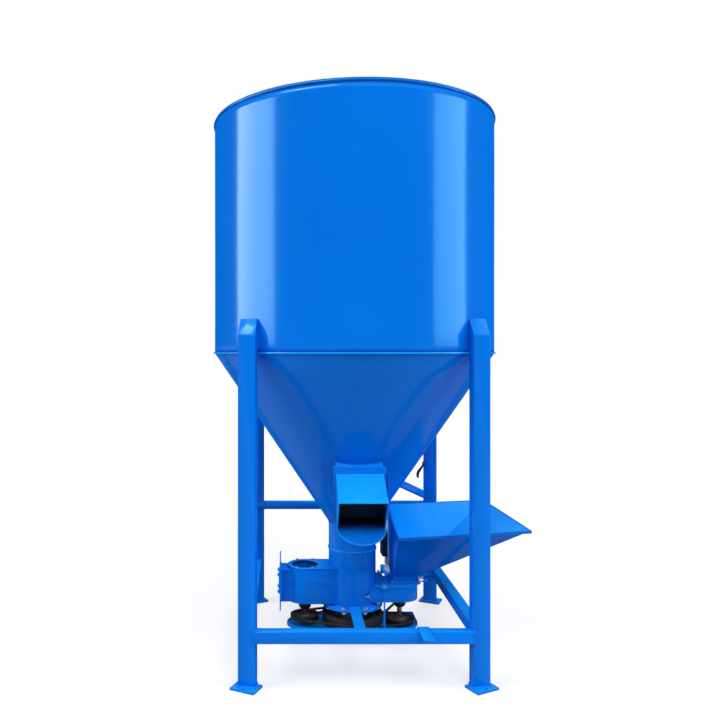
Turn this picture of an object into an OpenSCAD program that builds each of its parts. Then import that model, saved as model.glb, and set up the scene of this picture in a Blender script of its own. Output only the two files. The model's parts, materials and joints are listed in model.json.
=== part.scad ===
// Vertical feed mixer: a drum on a cone and four legs, with a lift auger in the middle,
// a blower housing on the left, an intake rotor and hopper on the right and a belt drive below.
// Origin: floor level on the drum's axis. +Z is up and the discharge spout faces -Y.

/* [Drum and cone] */
// Outside diameter of the drum
drum_d = 1100; // [1060:10:1200]
// Height of the drum's straight wall
drum_h = 890; // [600:10:1100]
// Height of the seam between drum and cone
seam_z = 1147; // [1120:1:1180]
// Height of the cone
cone_h = 675; // [660:1:690]
// Outside diameter of the neck tube under the cone
neck_d = 188; // [180:2:192]
// Sheet thickness of drum, cone, housings and hopper
sheet = 4; // [3:0.5:5]
// Radius of the bead round the drum's rim
bead_r = 6; // [4:0.5:8]

/* [Frame] */
// Width of a leg's section across its face
leg_w = 60; // [56:1:64]
// Depth of a leg's section
leg_t = 40; // [36:1:44]
// Wall of legs and beams
tube_wall = 3; // [2:0.5:4]
// Angle of the front legs from the front, round the drum
leg_angle = 42.9; // [42:0.1:44]
// Distance of a leg's middle outside the drum
leg_out = 35; // [34:0.5:40]
// Turn of each leg about its own axis
leg_turn = 10; // [5:1:12]
// Height of the leg's slanted top above the seam, at its face
leg_top = 61; // [40:1:80]
// Rise of the slanted top towards the drum
leg_rise = 58; // [40:1:70]
// Length of a foot plate
foot_l = 92; // [84:1:100]
// Width of a foot plate
foot_w = 68; // [66:1:76]
// Thickness of a foot plate
foot_t = 8; // [5:1:10]
// Turn of a foot plate about its leg
foot_turn = 26; // [15:1:30]
// Diameter of an anchor hole in a foot plate
anchor_d = 11; // [9:0.5:12]
// Side of the square tube of the low beams
beam = 40; // [36:1:44]
// Height of the low beams' underside
beam_z = 160; // [156:1:166]
// Height of the rear cross beam's underside
rear_beam_z = 431; // [425:1:450]
// Height of the rear cross beam's section
rear_beam_h = 32; // [24:1:36]

/* [Neck, flange and auger] */
// Diameter of the flange under the neck tube
flange_d = 240; // [236:2:250]
// Thickness of the flange, and of the plate bolted under it
flange_t = 5; // [4:0.5:6]
// Diameter of the bolt circle in the flange
flange_pcd = 214; // [212:1:216]
// Number of flange bolts
flange_n = 8; // [6:1:10]
// Diameter of the auger's shaft
auger_d = 36; // [32:1:40]
// Outside diameter of the auger's flight
flight_d = 164; // [150:2:168]
// Pitch of the auger's flight
flight_pitch = 165; // [140:5:200]
// Outside diameter of the lift tube inside the drum
lift_d = 190; // [184:2:196]
// Height of the lift tube's lower end
lift_z = 640; // [600:10:700]
// Height of the lift tube
lift_h = 1130; // [900:10:1180]

/* [Discharge spout] */
// Width of the spout
spout_w = 172; // [160:2:180]
// Distance of the spout's gate in front of the cone, at the roof's height
gate_out = 47; // [44:1:52]
// Height of the spout's roof at the gate, above the cone's lower end
roof_up = 235; // [228:1:240]
// Reach of the spout's roof in front of the gate
roof_reach = 131; // [120:1:140]
// Slope of the spout's roof
roof_slope = 30.4; // [26:0.2:34]
// Height of the spout's floor at the gate, above the cone's lower end
floor_up = 77; // [70:1:84]
// Slope of the spout's floor
floor_slope = 23.8; // [20:0.2:26]
// Height of the gate frame's top above the roof
frame_over = 29; // [26:1:34]
// Width of the rails at the gate's sides
rail_w = 10; // [8:1:12]

/* [Rotor housings] */
// Distance of both rotor shafts from the drum's axis
rotor_x = 190; // [188:1:194]
// Outside radius of the left housing
left_r = 68; // [64:1:72]
// Height of the left housing's underside
left_z = 160; // [156:1:166]
// Height of the left housing
left_h = 136; // [120:1:140]
// Diameter of the hole in the left housing's top
left_hole_d = 104; // [90:1:108]
// Height of the left flange
left_flange_h = 194; // [180:2:200]
// Width of the left flange
left_flange_w = 150; // [140:2:156]
// Reach of the left flange outside its housing
left_neck_l = 33; // [28:1:38]
// Outside radius of the right housing's round end
right_r = 71; // [68:1:74]
// Height of the right housing's underside
right_z = 168; // [164:1:170]
// Height of the right housing
right_h = 57; // [54:1:60]
// Diameter of the two rotor shafts
rotor_d = 20; // [18:1:22]
// Diameter of a rotor's bearing housing
bearing_d = 50; // [48:1:56]
// Height of a rotor's bearing housing
bearing_h = 38; // [36:1:40]
// Running clearance of every shaft in its bearing, on the radius
run_fit = 0.06; // [0.03:0.01:0.09]
// Gap where pieces seat on each other
seat = 0.3; // [0.2:0.05:0.4]

/* [Hopper] */
// Height of the hopper's rim above the cone's lower end
rim_up = 10; // [0:1:18]
// Height of the hopper's outlet
outlet_z = 262; // [256:1:268]
// Side of the hopper's square outlet
outlet_w = 98; // [90:1:100]

/* [Drive] */
// Height of the lowest belt's middle
belt_z = 78; // [77:1:80]
// Distance between belt levels
belt_step = 14; // [13.5:0.5:14.5]
// Width of a V-belt's back
belt_w = 10; // [9.5:0.1:10.5]
// Height of a V-belt's section
belt_h = 7; // [6:0.1:8]
// Outside diameter of the centre pulley
centre_pulley_d = 240; // [230:1:242]
// Outside diameter of the rotor pulleys
rotor_pulley_d = 116; // [110:1:120]
// Outside diameter of the motor pulley
motor_pulley_d = 90; // [80:1:100]
// Place of the motor to the right of the drum's axis
motor_x = 256; // [250:1:262]
// Place of the motor behind the drum's axis
motor_y = 330; // [326:1:336]
// Radius of the motor over its fins
motor_r = 80; // [76:1:82]
// Height of the motor's finned body
motor_h = 165; // [150:1:170]
// Number of cooling fins on the motor
motor_fins = 32; // [24:4:40]
// Diameter of the motor's shaft
motor_d = 24; // [20:1:28]
// Height of the motor plate's top
motor_plate_z = 180; // [178:1:186]
// Half of the motor plate's side
motor_plate_w = 90; // [86:1:96]
// Depth of the motor plate's folded edge
motor_fold = 40; // [30:1:50]

/* [Top] */
// Height of the inspection hatch's collar above the lid
hatch_h = 90; // [60:5:110]
// Side of the inspection hatch
hatch_w = 320; // [260:10:340]

/* [Hidden] */
$fn = 64;
drum_r = drum_d / 2;
neck_r = neck_d / 2;
rim_top = seam_z + drum_h;
cone_z = seam_z - cone_h;
cone_k = (drum_r - neck_r) / cone_h;
roof_z = cone_z + roof_up;
floor_z = cone_z + floor_up;
gate_top = roof_z + frame_over;
gate_y = neck_r + cone_k * roof_up + gate_out;
leg_c = drum_r + leg_out;
leg_px = leg_c * sin(leg_angle);
leg_py = leg_c * cos(leg_angle);
// Section outwards of the leg's middle where the anchor hole lies
anchor_y = leg_t / 2 + 12;
hinge_pin_d = 8;
strap_t = 8;
strap_w = 40;
flange_top = beam_z - strap_t;
flange_z = flange_top - flange_t;
base_z = flange_z - flange_t;
lid_t = 3;
rim_z = cone_z + rim_up;
lid_z = rim_top + bead_r * 1.5;
hatch_y = drum_r * 0.52;
bridge_h = 46;
bridge_w = 40;
bridge_gap = 84;
bridge_wall = 4;
bearing_foot = 6;
hinge_out = 12;
hinge_y = hatch_y - hatch_w / 2 - hinge_out;
door_lip = 8;
door_skirt = 22;
door_lift = 5;
door_t = 3;
handle_w = 150;
handle_h = 36;
hinge_z = lid_z + lid_t + hatch_h;
roof_t = 3;
gate_t = 3;
frame_y = 14;
collar_slope = 42;
spout_r = spout_w / 2;
// Height at which the spout's floor meets the cone
floor_k = tan(floor_slope);
spout_low = (floor_z + floor_k * (gate_y - neck_r + cone_k * cone_z)) / (1 + floor_k * cone_k);
// Plane of the gate's rail, just behind the roof
rail_front = -gate_y + 2;
rail_back = rail_front + frame_y;
plate_t = 5;
left_top = left_z + left_h;
left_mid = left_z + left_h / 2 + 6;
left_mouth_d = 64;
right_top = right_z + right_h;
guide_z = right_top + plate_t;
lug_x = neck_r * 0.62;
intake_t = 4;
guide_h = intake_t + 2 * 0.5;
collar_z = guide_z + guide_h;
outlet_x = rotor_x + 18;
outlet_y = 11;
hanger_x = 117;
hanger_y = 94;
hanger_w = 26;
// Third hanger, behind the flange on the left
rear_hanger = [-106, 106];
rod_d = 7;
tray_z = 62;
tray_t = 3;
tray_rim = 10;
tray_room = 14;
stay_up = 160;
stay_drop = 32;
stay_w = 30;
stay_h = 30;
screw_d = 6;
level_right = belt_z;
level_left = belt_z + belt_step;
level_motor = belt_z + 2 * belt_step;
rim_w = 16;
web_t = 6;
groove_gap = 0.7;
groove_deep = belt_h + 2;
neck_half = 48;
left_flange_x = -(rotor_x + left_r + left_neck_l);
motor_shield = 22;
motor_core = motor_r - 16;
motor_top = motor_plate_z + motor_shield + motor_h;
cowl_h = 58;
motor_plate_t = 8;
flight_t = 4;
flight_steps = 20;

// Corners of the hopper's rim, from the rear left round to the front left
rim_quad = [[182, 268], [623, 355], [644, -205], [142, -315]];
outlet_quad = [
    [outlet_x - outlet_w / 2, outlet_y + outlet_w / 2],
    [outlet_x + outlet_w / 2, outlet_y + outlet_w / 2],
    [outlet_x + outlet_w / 2, outlet_y - outlet_w / 2],
    [outlet_x - outlet_w / 2, outlet_y - outlet_w / 2]
];

// Radius of the cone's outside at a height
function cone_r(z) = neck_r + cone_k * (z - cone_z);

// Inward unit normal of the edge from a to b, on outlines that run clockwise
function inward(a, b) = let(d = b - a) [d[1], -d[0]] / norm(d);

// Outline moved inwards by t, or outwards where t is negative
function inset(q, t) = [
    for (i = [0 : len(q) - 1])
        let(n = len(q), m = inward(q[(i + n - 1) % n], q[i]), k = inward(q[i], q[(i + 1) % n]))
        q[i] + t * (m + k) / (1 + m * k)
];

// Solid between two four-cornered outlines at two heights
module frustum(low, z0, high, z1) {
    polyhedron(
        points = [for (p = low) [p[0], p[1], z0], for (p = high) [p[0], p[1], z1]],
        faces = [[3, 2, 1, 0], [4, 5, 6, 7], for (i = [0 : 3]) each
            let(j = (i + 1) % 4) [[i, j, 4 + j], [i, 4 + j, 4 + i]]],
        convexity = 4
    );
}

// Round tube standing on the XY plane
module pipe(ro, ri, h) {
    difference() {
        cylinder(r = ro, h = h);
        translate([0, 0, -1]) cylinder(r = ri, h = h + 2);
    }
}

// Cuboid given by its two corners
module block(a, b) {
    translate(a) cube(b - a);
}

// Hexagon bolt with its head up at the origin, its washer under the head and a nut below
module bolt(d, grip, nut = true) {
    translate([0, 0, 1.5]) cylinder(r = d * 0.92, h = d * 0.6, $fn = 6);
    cylinder(r = d * 1.05, h = 1.5, $fn = 32);
    translate([0, 0, -grip]) cylinder(d = d, h = grip, $fn = 32);
    if (nut) {
        translate([0, 0, -grip - d * 0.8]) cylinder(r = d * 0.92, h = d * 0.8, $fn = 6);
        translate([0, 0, -grip - d * 1.1]) cylinder(d = d, h = d * 0.35, $fn = 32);
    }
}

// Sheet outline given in the YZ plane, carried along X from x0 to x1
module along_x(x0, x1, outline) {
    translate([x0, 0, 0]) rotate([90, 0, 90]) linear_extrude(x1 - x0) polygon(outline);
}

// Drum, cone and neck

module drum_shell() {
    color("royalblue") translate([0, 0, seam_z]) rotate_extrude($fn = 160)
        translate([drum_r - sheet, 0]) square([sheet, drum_h]);
}

module rim_bead() {
    color("midnightblue") translate([0, 0, rim_top]) rotate_extrude($fn = 160)
        translate([drum_r - sheet / 2, 0]) intersection() {
            translate([0, bead_r / 2]) circle(r = bead_r, $fn = 12);
            translate([-bead_r, 0]) square(2 * bead_r);
        }
}

// Welded rings over the drum's seam and round the neck tube
module seam_rings() {
    color("dodgerblue") difference() {
        union() {
            translate([0, 0, seam_z - 3]) pipe(drum_r + 5, drum_r + seat, 6, $fn = 160);
            translate([0, 0, cone_z - 106]) pipe(neck_r + 3, neck_r + seat, 7);
        }
        for (sx = [-1, 1], sy = [-1, 1]) leg_block(sx, sy, 0, rim_top);
    }
}

module cone_shell() {
    wall = sheet / cos(atan(cone_k));
    color("royalblue") difference() {
        rotate_extrude($fn = 160) polygon([
            [neck_r, cone_z], [drum_r, seam_z], [drum_r - wall, seam_z], [neck_r - wall, cone_z]
        ]);
        block([-spout_r + sheet, -gate_y, spout_low + 12], [spout_r - sheet, 0, roof_z + 10]);
    }
}

module neck_tube() {
    color("royalblue") difference() {
        translate([0, 0, flange_z]) pipe(neck_r, neck_r - sheet, cone_z - flange_z);
        block([-neck_d, -neck_r * 0.45, left_z + 20], [0, neck_r * 0.45, left_top - 12]);
        block([0, -neck_r * 0.45, right_z + 6], [neck_d, neck_r * 0.45, right_top - 6]);
    }
}

module base_flange() {
    color("royalblue") translate([0, 0, flange_z]) difference() {
        pipe(flange_d / 2, neck_r + seat, flange_t);
        bolt_ring() cylinder(d = 11, h = flange_t * 4, center = true);
    }
}

// Copies of a child on the flange's bolt circle
module bolt_ring() {
    for (i = [0 : flange_n - 1]) rotate(360 / flange_n * (i + 0.5) + 90)
        translate([flange_pcd / 2, 0, 0]) children();
}

module base_plate() {
    color("royalblue") translate([0, 0, base_z]) difference() {
        cylinder(d = flange_d, h = flange_t);
        bolt_ring() cylinder(d = 11, h = flange_t * 4, center = true);
        translate([0, 0, -1]) cylinder(d = auger_d + 6, h = flange_t + 2);
    }
}

module flange_bolts() {
    color("silver") translate([0, 0, flange_top]) bolt_ring() bolt(10, 2 * flange_t);
}

module lower_bearing() {
    color("dimgray") difference() {
        union() {
            translate([0, 0, base_z - 8]) cylinder(r = 58, h = 8);
            translate([0, 0, base_z - 20]) cylinder(r1 = 36, r2 = 42, h = 12);
        }
        translate([0, 0, base_z - 30]) cylinder(r = auger_d / 2 + run_fit, h = 40);
    }
}

// Top of the drum

module drum_lid() {
    color("royalblue") difference() {
        translate([0, 0, lid_z]) cylinder(r = drum_r, h = lid_t, $fn = 160);
        translate([0, 0, lid_z - 1]) cylinder(r = auger_d / 2 + 6, h = lid_t + 2);
        translate([0, hatch_y, lid_z + 1])
            cube([hatch_w - 2 * sheet, hatch_w - 2 * sheet, 10], center = true);
    }
}

// Two channels across the lid that carry the top bearing
module lid_bridge() {
    reach = drum_r * 0.9;
    z0 = lid_z + lid_t;
    z1 = z0 + bridge_h;
    mid = (bridge_gap + bridge_w) / 2;
    half = bridge_w / 2;
    color("royalblue") {
        for (s = [-1, 1]) difference() {
            block([-reach, s * mid - half, z0], [reach, s * mid + half, z1]);
            translate([0, s * (mid + bridge_wall), 0])
                block([-reach - 1, -half, z0 + bridge_wall], [reach + 1, half, z1 - bridge_wall]);
        }
        difference() {
            block([-mid - 8, -mid - half, z1], [mid + 8, mid + half, z1 + bearing_foot]);
            translate([0, 0, lid_z]) cylinder(r = auger_d / 2 + 4, h = bridge_h * 2);
        }
    }
}

module top_bearing() {
    base = lid_z + lid_t + bridge_h + bearing_foot;
    color("dimgray") difference() {
        union() {
            translate([0, 0, base]) cylinder(r = 56, h = 10);
            translate([0, 0, base + 10]) cylinder(r1 = 42, r2 = 36, h = 24);
            for (a = [45 : 90 : 315]) rotate(a) translate([46, 0, base + 10])
                cylinder(r = 8, h = 7, $fn = 6);
        }
        translate([0, 0, base - 1]) cylinder(r = auger_d / 2 + run_fit, h = 60);
    }
}

module hatch_collar() {
    w = hatch_w / 2;
    color("royalblue") translate([0, hatch_y, lid_z + lid_t]) {
        difference() {
            block([-w, -w, 0], [w, w, hatch_h]);
            block([-w + sheet, -w + sheet, -1], [w - sheet, w - sheet, hatch_h + 1]);
        }
        for (s = [-1, 1]) difference() {
            translate([s * w * 0.6 - 10, -w - 22, hatch_h - 14]) cube([20, 22, 22]);
            translate([s * w * 0.6 - 11, -w - 12, hatch_h]) rotate([0, 90, 0])
                cylinder(r = hinge_pin_d / 2 + 0.02, h = 22);
        }
    }
}

module hatch_hinge_pin() {
    color("silver") translate([-hatch_w * 0.36, hinge_y, hinge_z]) rotate([0, 90, 0])
        cylinder(d = hinge_pin_d, h = hatch_w * 0.72);
}

module hatch_door() {
    w = hatch_w / 2 + door_lip;
    near = -hatch_w / 2 + door_lip / 2;
    z = door_lift;
    top = z + door_t;
    side = door_t / 2;
    knuckle = hatch_w * 0.2;
    grip = hatch_w * 0.27;
    color("royalblue") difference() {
        translate([0, hatch_y, hinge_z]) {
            block([-w, near, z], [w, w, top]);
            for (s = [-1, 1]) block([s * w - side, near, -door_skirt], [s * w + side, w, top]);
            block([-w, w - side, -door_skirt], [w, w + side, top]);
            for (s = [-1, 1]) {
                block([s * handle_w / 2 - 5, grip, top], [s * handle_w / 2 + 5, grip + 10, handle_h]);
                translate([s * knuckle, -hatch_w / 2 - hinge_out, 0]) rotate([0, 90, 0])
                    cylinder(d = 2 * hinge_pin_d, h = 24, center = true);
                block([s * knuckle - 12, -hatch_w / 2 - hinge_out, z], [s * knuckle + 12, near + 4, top]);
            }
            block([-handle_w / 2, grip, handle_h - 10], [handle_w / 2, grip + 10, handle_h]);
        }
        translate([-drum_r, hinge_y, hinge_z]) rotate([0, 90, 0])
            cylinder(r = hinge_pin_d / 2 + run_fit, h = drum_d);
    }
}

// Auger in the middle

module lift_tube() {
    color("steelblue") translate([0, 0, lift_z]) pipe(lift_d / 2, lift_d / 2 - sheet, lift_h);
}

module lift_tube_stays() {
    color("steelblue") for (z = [seam_z + 60, lift_z + lift_h - 80], a = [30 : 120 : 270])
        difference() {
            rotate(a) block([0, -4, z], [drum_r, 4, z + 40]);
            translate([0, 0, z - 1]) cylinder(r = lift_d / 2 + seat, h = 42);
            translate([0, 0, z - 1]) pipe(drum_r + 10, drum_r - sheet - seat, 42, $fn = 160);
        }
}

module auger_shaft() {
    color("silver") translate([0, 0, belt_z - rim_w / 2 - 3])
        cylinder(d = auger_d, h = lid_z + lid_t + bridge_h + 52 - belt_z + rim_w / 2 + 3);
}

// Points of a flight's section at step i: inner and outer edge, below and above
function flight_ring(i, r0, r1, t, pitch, steps) =
    let(a = 360 * i / steps, z = pitch * i / steps)
    [[r0 * cos(a), r0 * sin(a), z], [r1 * cos(a), r1 * sin(a), z],
     [r1 * cos(a), r1 * sin(a), z + t], [r0 * cos(a), r0 * sin(a), z + t]];

// Screw flight of a number of turns, from radius r0 to r1
module flight(r0, r1, t, pitch, turns, steps) {
    n = round(turns * steps);
    polyhedron(
        points = [for (i = [0 : n]) each flight_ring(i, r0, r1, t, pitch, steps)],
        faces = [
            [0, 1, 2, 3],
            for (i = [0 : n - 1], k = [0 : 3])
                [4 * i + k, 4 * i + 4 + k, 4 * i + 4 + (k + 1) % 4, 4 * i + (k + 1) % 4],
            [4 * n + 3, 4 * n + 2, 4 * n + 1, 4 * n]
        ],
        convexity = 12
    );
}

module auger_flight() {
    start = flange_z + 12;
    turns = (lift_z + lift_h - 20 - start) / flight_pitch;
    color("slategray") translate([0, 0, start])
        flight(auger_d / 2 + 0.4, flight_d / 2, flight_t, flight_pitch, turns, flight_steps);
}

// Pulleys and belts

// Half section of a V-groove cut for a belt whose back lies at radius r, at height z
module groove(r, z) {
    flank = belt_w / 2 + groove_gap;
    translate([0, z]) polygon([
        [r + 4, flank + 1.3], [r - groove_deep, flank * 0.52],
        [r - groove_deep, -flank * 0.52], [r + 4, -flank - 1.3]
    ]);
}

// Pulley with a groove at each level, and a web with round holes between rim and hub
module pulley(d, bore, levels, holes, fit) {
    z0 = min(levels) - rim_w / 2;
    z1 = max(levels) + rim_w / 2;
    r = d / 2;
    b = bore / 2 + fit;
    rim = r - groove_deep - 5;
    hub = bore / 2 + 9;
    foot = hub + 5;
    mid = (z0 + z1) / 2;
    low = mid - web_t / 2;
    top = mid + web_t / 2;
    hole_d = (rim - foot) * 0.66;
    difference() {
        rotate_extrude($fn = 96) difference() {
            polygon([
                [b, z0 - 3], [hub, z0 - 3], [foot, low], [rim, low], [rim - 2, z0], [r, z0],
                [r, z1], [rim - 2, z1], [rim, top], [foot, top], [hub, z1 + 3], [b, z1 + 3]
            ]);
            for (z = levels) groove(r, z);
        }
        for (i = [0 : holes - 1]) rotate(360 / holes * (i + 0.5))
            translate([(rim + foot) / 2, 0, low - 1]) cylinder(d = hole_d, h = web_t + 2, $fn = 32);
    }
}

module centre_pulley() {
    color("black") pulley(centre_pulley_d, auger_d, [level_right, level_left, level_motor], 6, 0.02);
}

module rotor_pulley(level) {
    color("black") pulley(rotor_pulley_d, rotor_d, [level], 4, 0.02);
}

module left_pulley() {
    translate([-rotor_x, 0, 0]) rotor_pulley(level_left);
}

module right_pulley() {
    translate([rotor_x, 0, 0]) rotor_pulley(level_right);
}

module motor_pulley() {
    color("black") translate([motor_x, motor_y, 0])
        pulley(motor_pulley_d, motor_d, [level_motor], 3, 0.02);
}

// Point on a belt's path round two circles, r1 at the origin and r2 at distance d along X;
// the path's first half wraps the far circle and its second half wraps the near one
function belt_point(i, n, r1, r2, d) =
    let(tilt = asin((r1 - r2) / d), far = i < n,
        a = far ? -90 + tilt + (180 - 2 * tilt) * i / (n - 1)
                : 90 - tilt + (180 + 2 * tilt) * (i - n) / (n - 1))
    far ? [d + r2 * cos(a), r2 * sin(a), a] : [r1 * cos(a), r1 * sin(a), a];

// V-belt round two pulleys of outside diameters d1 and d2, at distance d along X
module belt(d1, d2, d, n = 40) {
    back = belt_w / 2;
    inner = back * 0.62;
    tops = [for (i = [0 : 2 * n - 1]) belt_point(i, n, d1 / 2, d2 / 2, d)];
    polyhedron(
        points = [for (p = tops) each
            let(u = [cos(p[2]), sin(p[2])], q = [p[0], p[1]], w = q - belt_h * u)
            [[q[0], q[1], back], [q[0], q[1], -back], [w[0], w[1], -inner], [w[0], w[1], inner]]],
        faces = [for (i = [0 : 2 * n - 1], k = [0 : 3])
            let(j = (i + 1) % (2 * n))
            [4 * i + k, 4 * i + (k + 1) % 4, 4 * j + (k + 1) % 4, 4 * j + k]],
        convexity = 6
    );
}

module left_belt() {
    color("dimgray") translate([0, 0, level_left]) rotate(180)
        belt(centre_pulley_d, rotor_pulley_d, rotor_x);
}

module right_belt() {
    color("dimgray") translate([0, 0, level_right])
        belt(centre_pulley_d, rotor_pulley_d, rotor_x);
}

module motor_belt() {
    color("dimgray") translate([0, 0, level_motor]) rotate(atan2(motor_y, motor_x))
        belt(centre_pulley_d, motor_pulley_d, norm([motor_x, motor_y]));
}

// Discharge spout

// Height of the spout floor's top at a distance in front of the drum's axis
function floor_at(y) = floor_z - (y - gate_y) * floor_k;

module spout_collar() {
    top = gate_top - 3;
    back = gate_y * 0.45;
    rise = (-rail_back - back) * tan(collar_slope);
    thick = sheet / cos(collar_slope);
    color("royalblue") difference() {
        along_x(-spout_r, spout_r, [[rail_back, top], [rail_back, floor_at(-rail_back) - sheet],
            [-back, floor_at(back) - sheet], [-back, top + rise]]);
        along_x(-spout_r + sheet, spout_r - sheet, [[rail_back - 1, top - thick],
            [rail_back - 1, floor_at(-rail_back)], [-back + 1, floor_at(back)],
            [-back + 1, top + rise - thick]]);
        translate([0, 0, cone_z]) cylinder(r1 = neck_r + seat, r2 = drum_r + seat, h = cone_h, $fn = 160);
    }
}

module gate_frame() {
    slot = gate_t + 1.2;
    mid = (rail_front + rail_back) / 2;
    low = floor_z - 16;
    color("royalblue") difference() {
        block([-spout_r - rail_w, rail_front, low], [spout_r + rail_w, rail_back, gate_top]);
        block([-spout_r + sheet, rail_front - 1, floor_z], [spout_r - sheet, rail_back + 1, roof_z - 4]);
        block([-spout_r - 2, mid - slot / 2, floor_z - 8], [spout_r + 20, mid + slot / 2, roof_z + 6]);
    }
}

module discharge_gate() {
    mid = (rail_front + rail_back) / 2;
    pull = spout_r + 20;
    color("royalblue") {
        block([-spout_r - 1, mid - gate_t / 2, floor_z - 7], [pull, mid + gate_t / 2, roof_z + 5]);
        block([pull - gate_t, mid - 16, floor_z + 60], [pull, mid + gate_t / 2, roof_z + 5]);
    }
}

module spout_chute() {
    out = gate_y + roof_reach;
    low = roof_z - roof_reach * tan(roof_slope);
    round_y = gate_y + spout_r * 0.56;
    front = rail_front - seat;
    side = [[front, roof_z], [-out, low], [-round_y, floor_at(round_y) - sheet],
        [front, floor_at(-front) - sheet]];
    color("dodgerblue") {
        along_x(-spout_r, spout_r,
            [[front, roof_z], [-out, low], [-out, low + roof_t], [front, roof_z + roof_t]]);
        for (x = [-spout_r, spout_r - roof_t]) along_x(x, x + roof_t, side);
    }
    color("royalblue") intersection() {
        along_x(-spout_r, spout_r, [[front, floor_at(-front)],
            [-out - spout_r, floor_at(out + spout_r)],
            [-out - spout_r, floor_at(out + spout_r) - sheet], [front, floor_at(-front) - sheet]]);
        union() {
            block([-spout_r, -round_y, 0], [spout_r, 0, seam_z]);
            translate([0, -round_y, 0]) cylinder(r = spout_r, h = seam_z, $fn = 96);
        }
    }
}

// Left housing

// Outline of the left housing, made smaller by t
module left_plan(t) {
    translate([-rotor_x, 0]) circle(r = left_r - t, $fn = 96);
    translate([-rotor_x, -left_r + t]) square([rotor_x - neck_r * 0.5, 2 * (left_r - t)]);
}

module left_housing() {
    color("royalblue") difference() {
        union() {
            translate([0, 0, left_z]) linear_extrude(left_h) left_plan(0);
            block([left_flange_x + plate_t, -neck_half, left_z + 4], [-rotor_x, neck_half, left_top - 6]);
        }
        translate([0, 0, left_z + sheet]) linear_extrude(left_h) left_plan(sheet);
        block([left_flange_x, -neck_half + sheet, left_z + 4 + sheet],
            [-rotor_x, neck_half - sheet, left_top - 6 - sheet]);
        translate([0, 0, flange_z]) cylinder(r = neck_r + seat, h = left_h * 2);
        translate([-rotor_x, 0, left_z - 1]) cylinder(r = rotor_d / 2 + 2, h = sheet + 2);
    }
}

module left_top_plate() {
    color("royalblue") difference() {
        translate([0, 0, left_top]) linear_extrude(sheet) difference() {
            left_plan(-2);
            translate([-rotor_x, 0]) circle(d = left_hole_d, $fn = 96);
        }
        translate([0, 0, left_top - 1]) cylinder(r = neck_r + seat, h = sheet + 2);
    }
}

// Holes of the left flange, three on each side
module left_flange_holes() {
    for (y = [-1, 1], z = [-1, 0, 1])
        translate([left_flange_x, y * (left_flange_w / 2 - 13), left_mid + z * (left_flange_h / 2 - 19)])
            rotate([0, 90, 0]) children();
}

module left_flange() {
    color("royalblue") difference() {
        block([left_flange_x, -left_flange_w / 2, left_mid - left_flange_h / 2],
            [left_flange_x + plate_t, left_flange_w / 2, left_mid + left_flange_h / 2]);
        translate([left_flange_x - 1, 0, left_mid]) rotate([0, 90, 0])
            cylinder(d = left_mouth_d, h = plate_t + 2);
        left_flange_holes() translate([0, 0, -1]) cylinder(d = 9, h = plate_t + 2);
    }
}

// Blank cover over the left flange's mouth
module left_cover() {
    half = left_mouth_d / 2 + 10;
    color("dodgerblue") {
        block([left_flange_x - 4, -half, left_mid - half], [left_flange_x, half, left_mid + half]);
        for (y = [-1, 1], z = [-1, 1])
            translate([left_flange_x - 4, y * (half - 9), left_mid + z * (half - 9)])
                rotate([0, -90, 0]) cylinder(r = 7, h = 5, $fn = 6);
    }
}

// Bearing housing of a rotor with its flange at the origin and its nose below
module rotor_bearing() {
    b = rotor_d / 2 + run_fit;
    r = bearing_d / 2;
    rotate_extrude() polygon([
        [b, 0], [r + 6, 0], [r + 6, -5], [r, -8], [r, 12 - bearing_h], [r - 3, 5 - bearing_h],
        [r - 9, -bearing_h], [b, -bearing_h]
    ]);
}

module left_bearing() {
    color("black") translate([-rotor_x, 0, left_z]) rotor_bearing();
}

// Shaft from under a pulley level up to a height
module rotor_shaft(level, top) {
    color("silver") translate([0, 0, level - rim_w / 2 - 5])
        cylinder(d = rotor_d, h = top - level + rim_w / 2 + 5);
}

module left_shaft() {
    translate([-rotor_x, 0, 0]) rotor_shaft(level_left, left_top - 14);
}

// Paddle wheel with upright blades on a hub
module impeller(r, h, blades) {
    difference() {
        union() {
            cylinder(r = rotor_d / 2 + 8, h = h);
            cylinder(r = r * 0.8, h = 4);
            for (i = [0 : blades - 1]) rotate(360 / blades * i)
                block([rotor_d / 2, -2, 0], [r, 2, h]);
        }
        translate([0, 0, -1]) cylinder(r = rotor_d / 2 + 0.02, h = h + 2);
    }
}

module left_impeller() {
    color("slategray") translate([-rotor_x, 0, left_z + sheet + 3])
        impeller(left_hole_d / 2 - 2, left_h - sheet - 26, 4);
}

// Right housing and intake

// Outline of the right housing, made smaller by t
module right_plan(t) {
    translate([rotor_x, 0]) circle(r = right_r - t, $fn = 96);
    translate([neck_r * 0.5, -right_r + t]) square([rotor_x - neck_r * 0.5, 2 * (right_r - t)]);
}

module right_housing() {
    color("royalblue") difference() {
        union() {
            translate([0, 0, right_z]) linear_extrude(right_h) right_plan(0);
            block([lug_x, -right_r - 28, right_z + 16], [lug_x + sheet, -right_r + 1, right_z + 42]);
        }
        translate([0, 0, right_z + sheet]) linear_extrude(right_h) right_plan(sheet);
        translate([0, 0, flange_z]) cylinder(r = neck_r + seat, h = right_h * 3);
        translate([rotor_x, 0, right_z - 1]) cylinder(r = rotor_d / 2 + 2, h = sheet + 2);
    }
}

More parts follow.
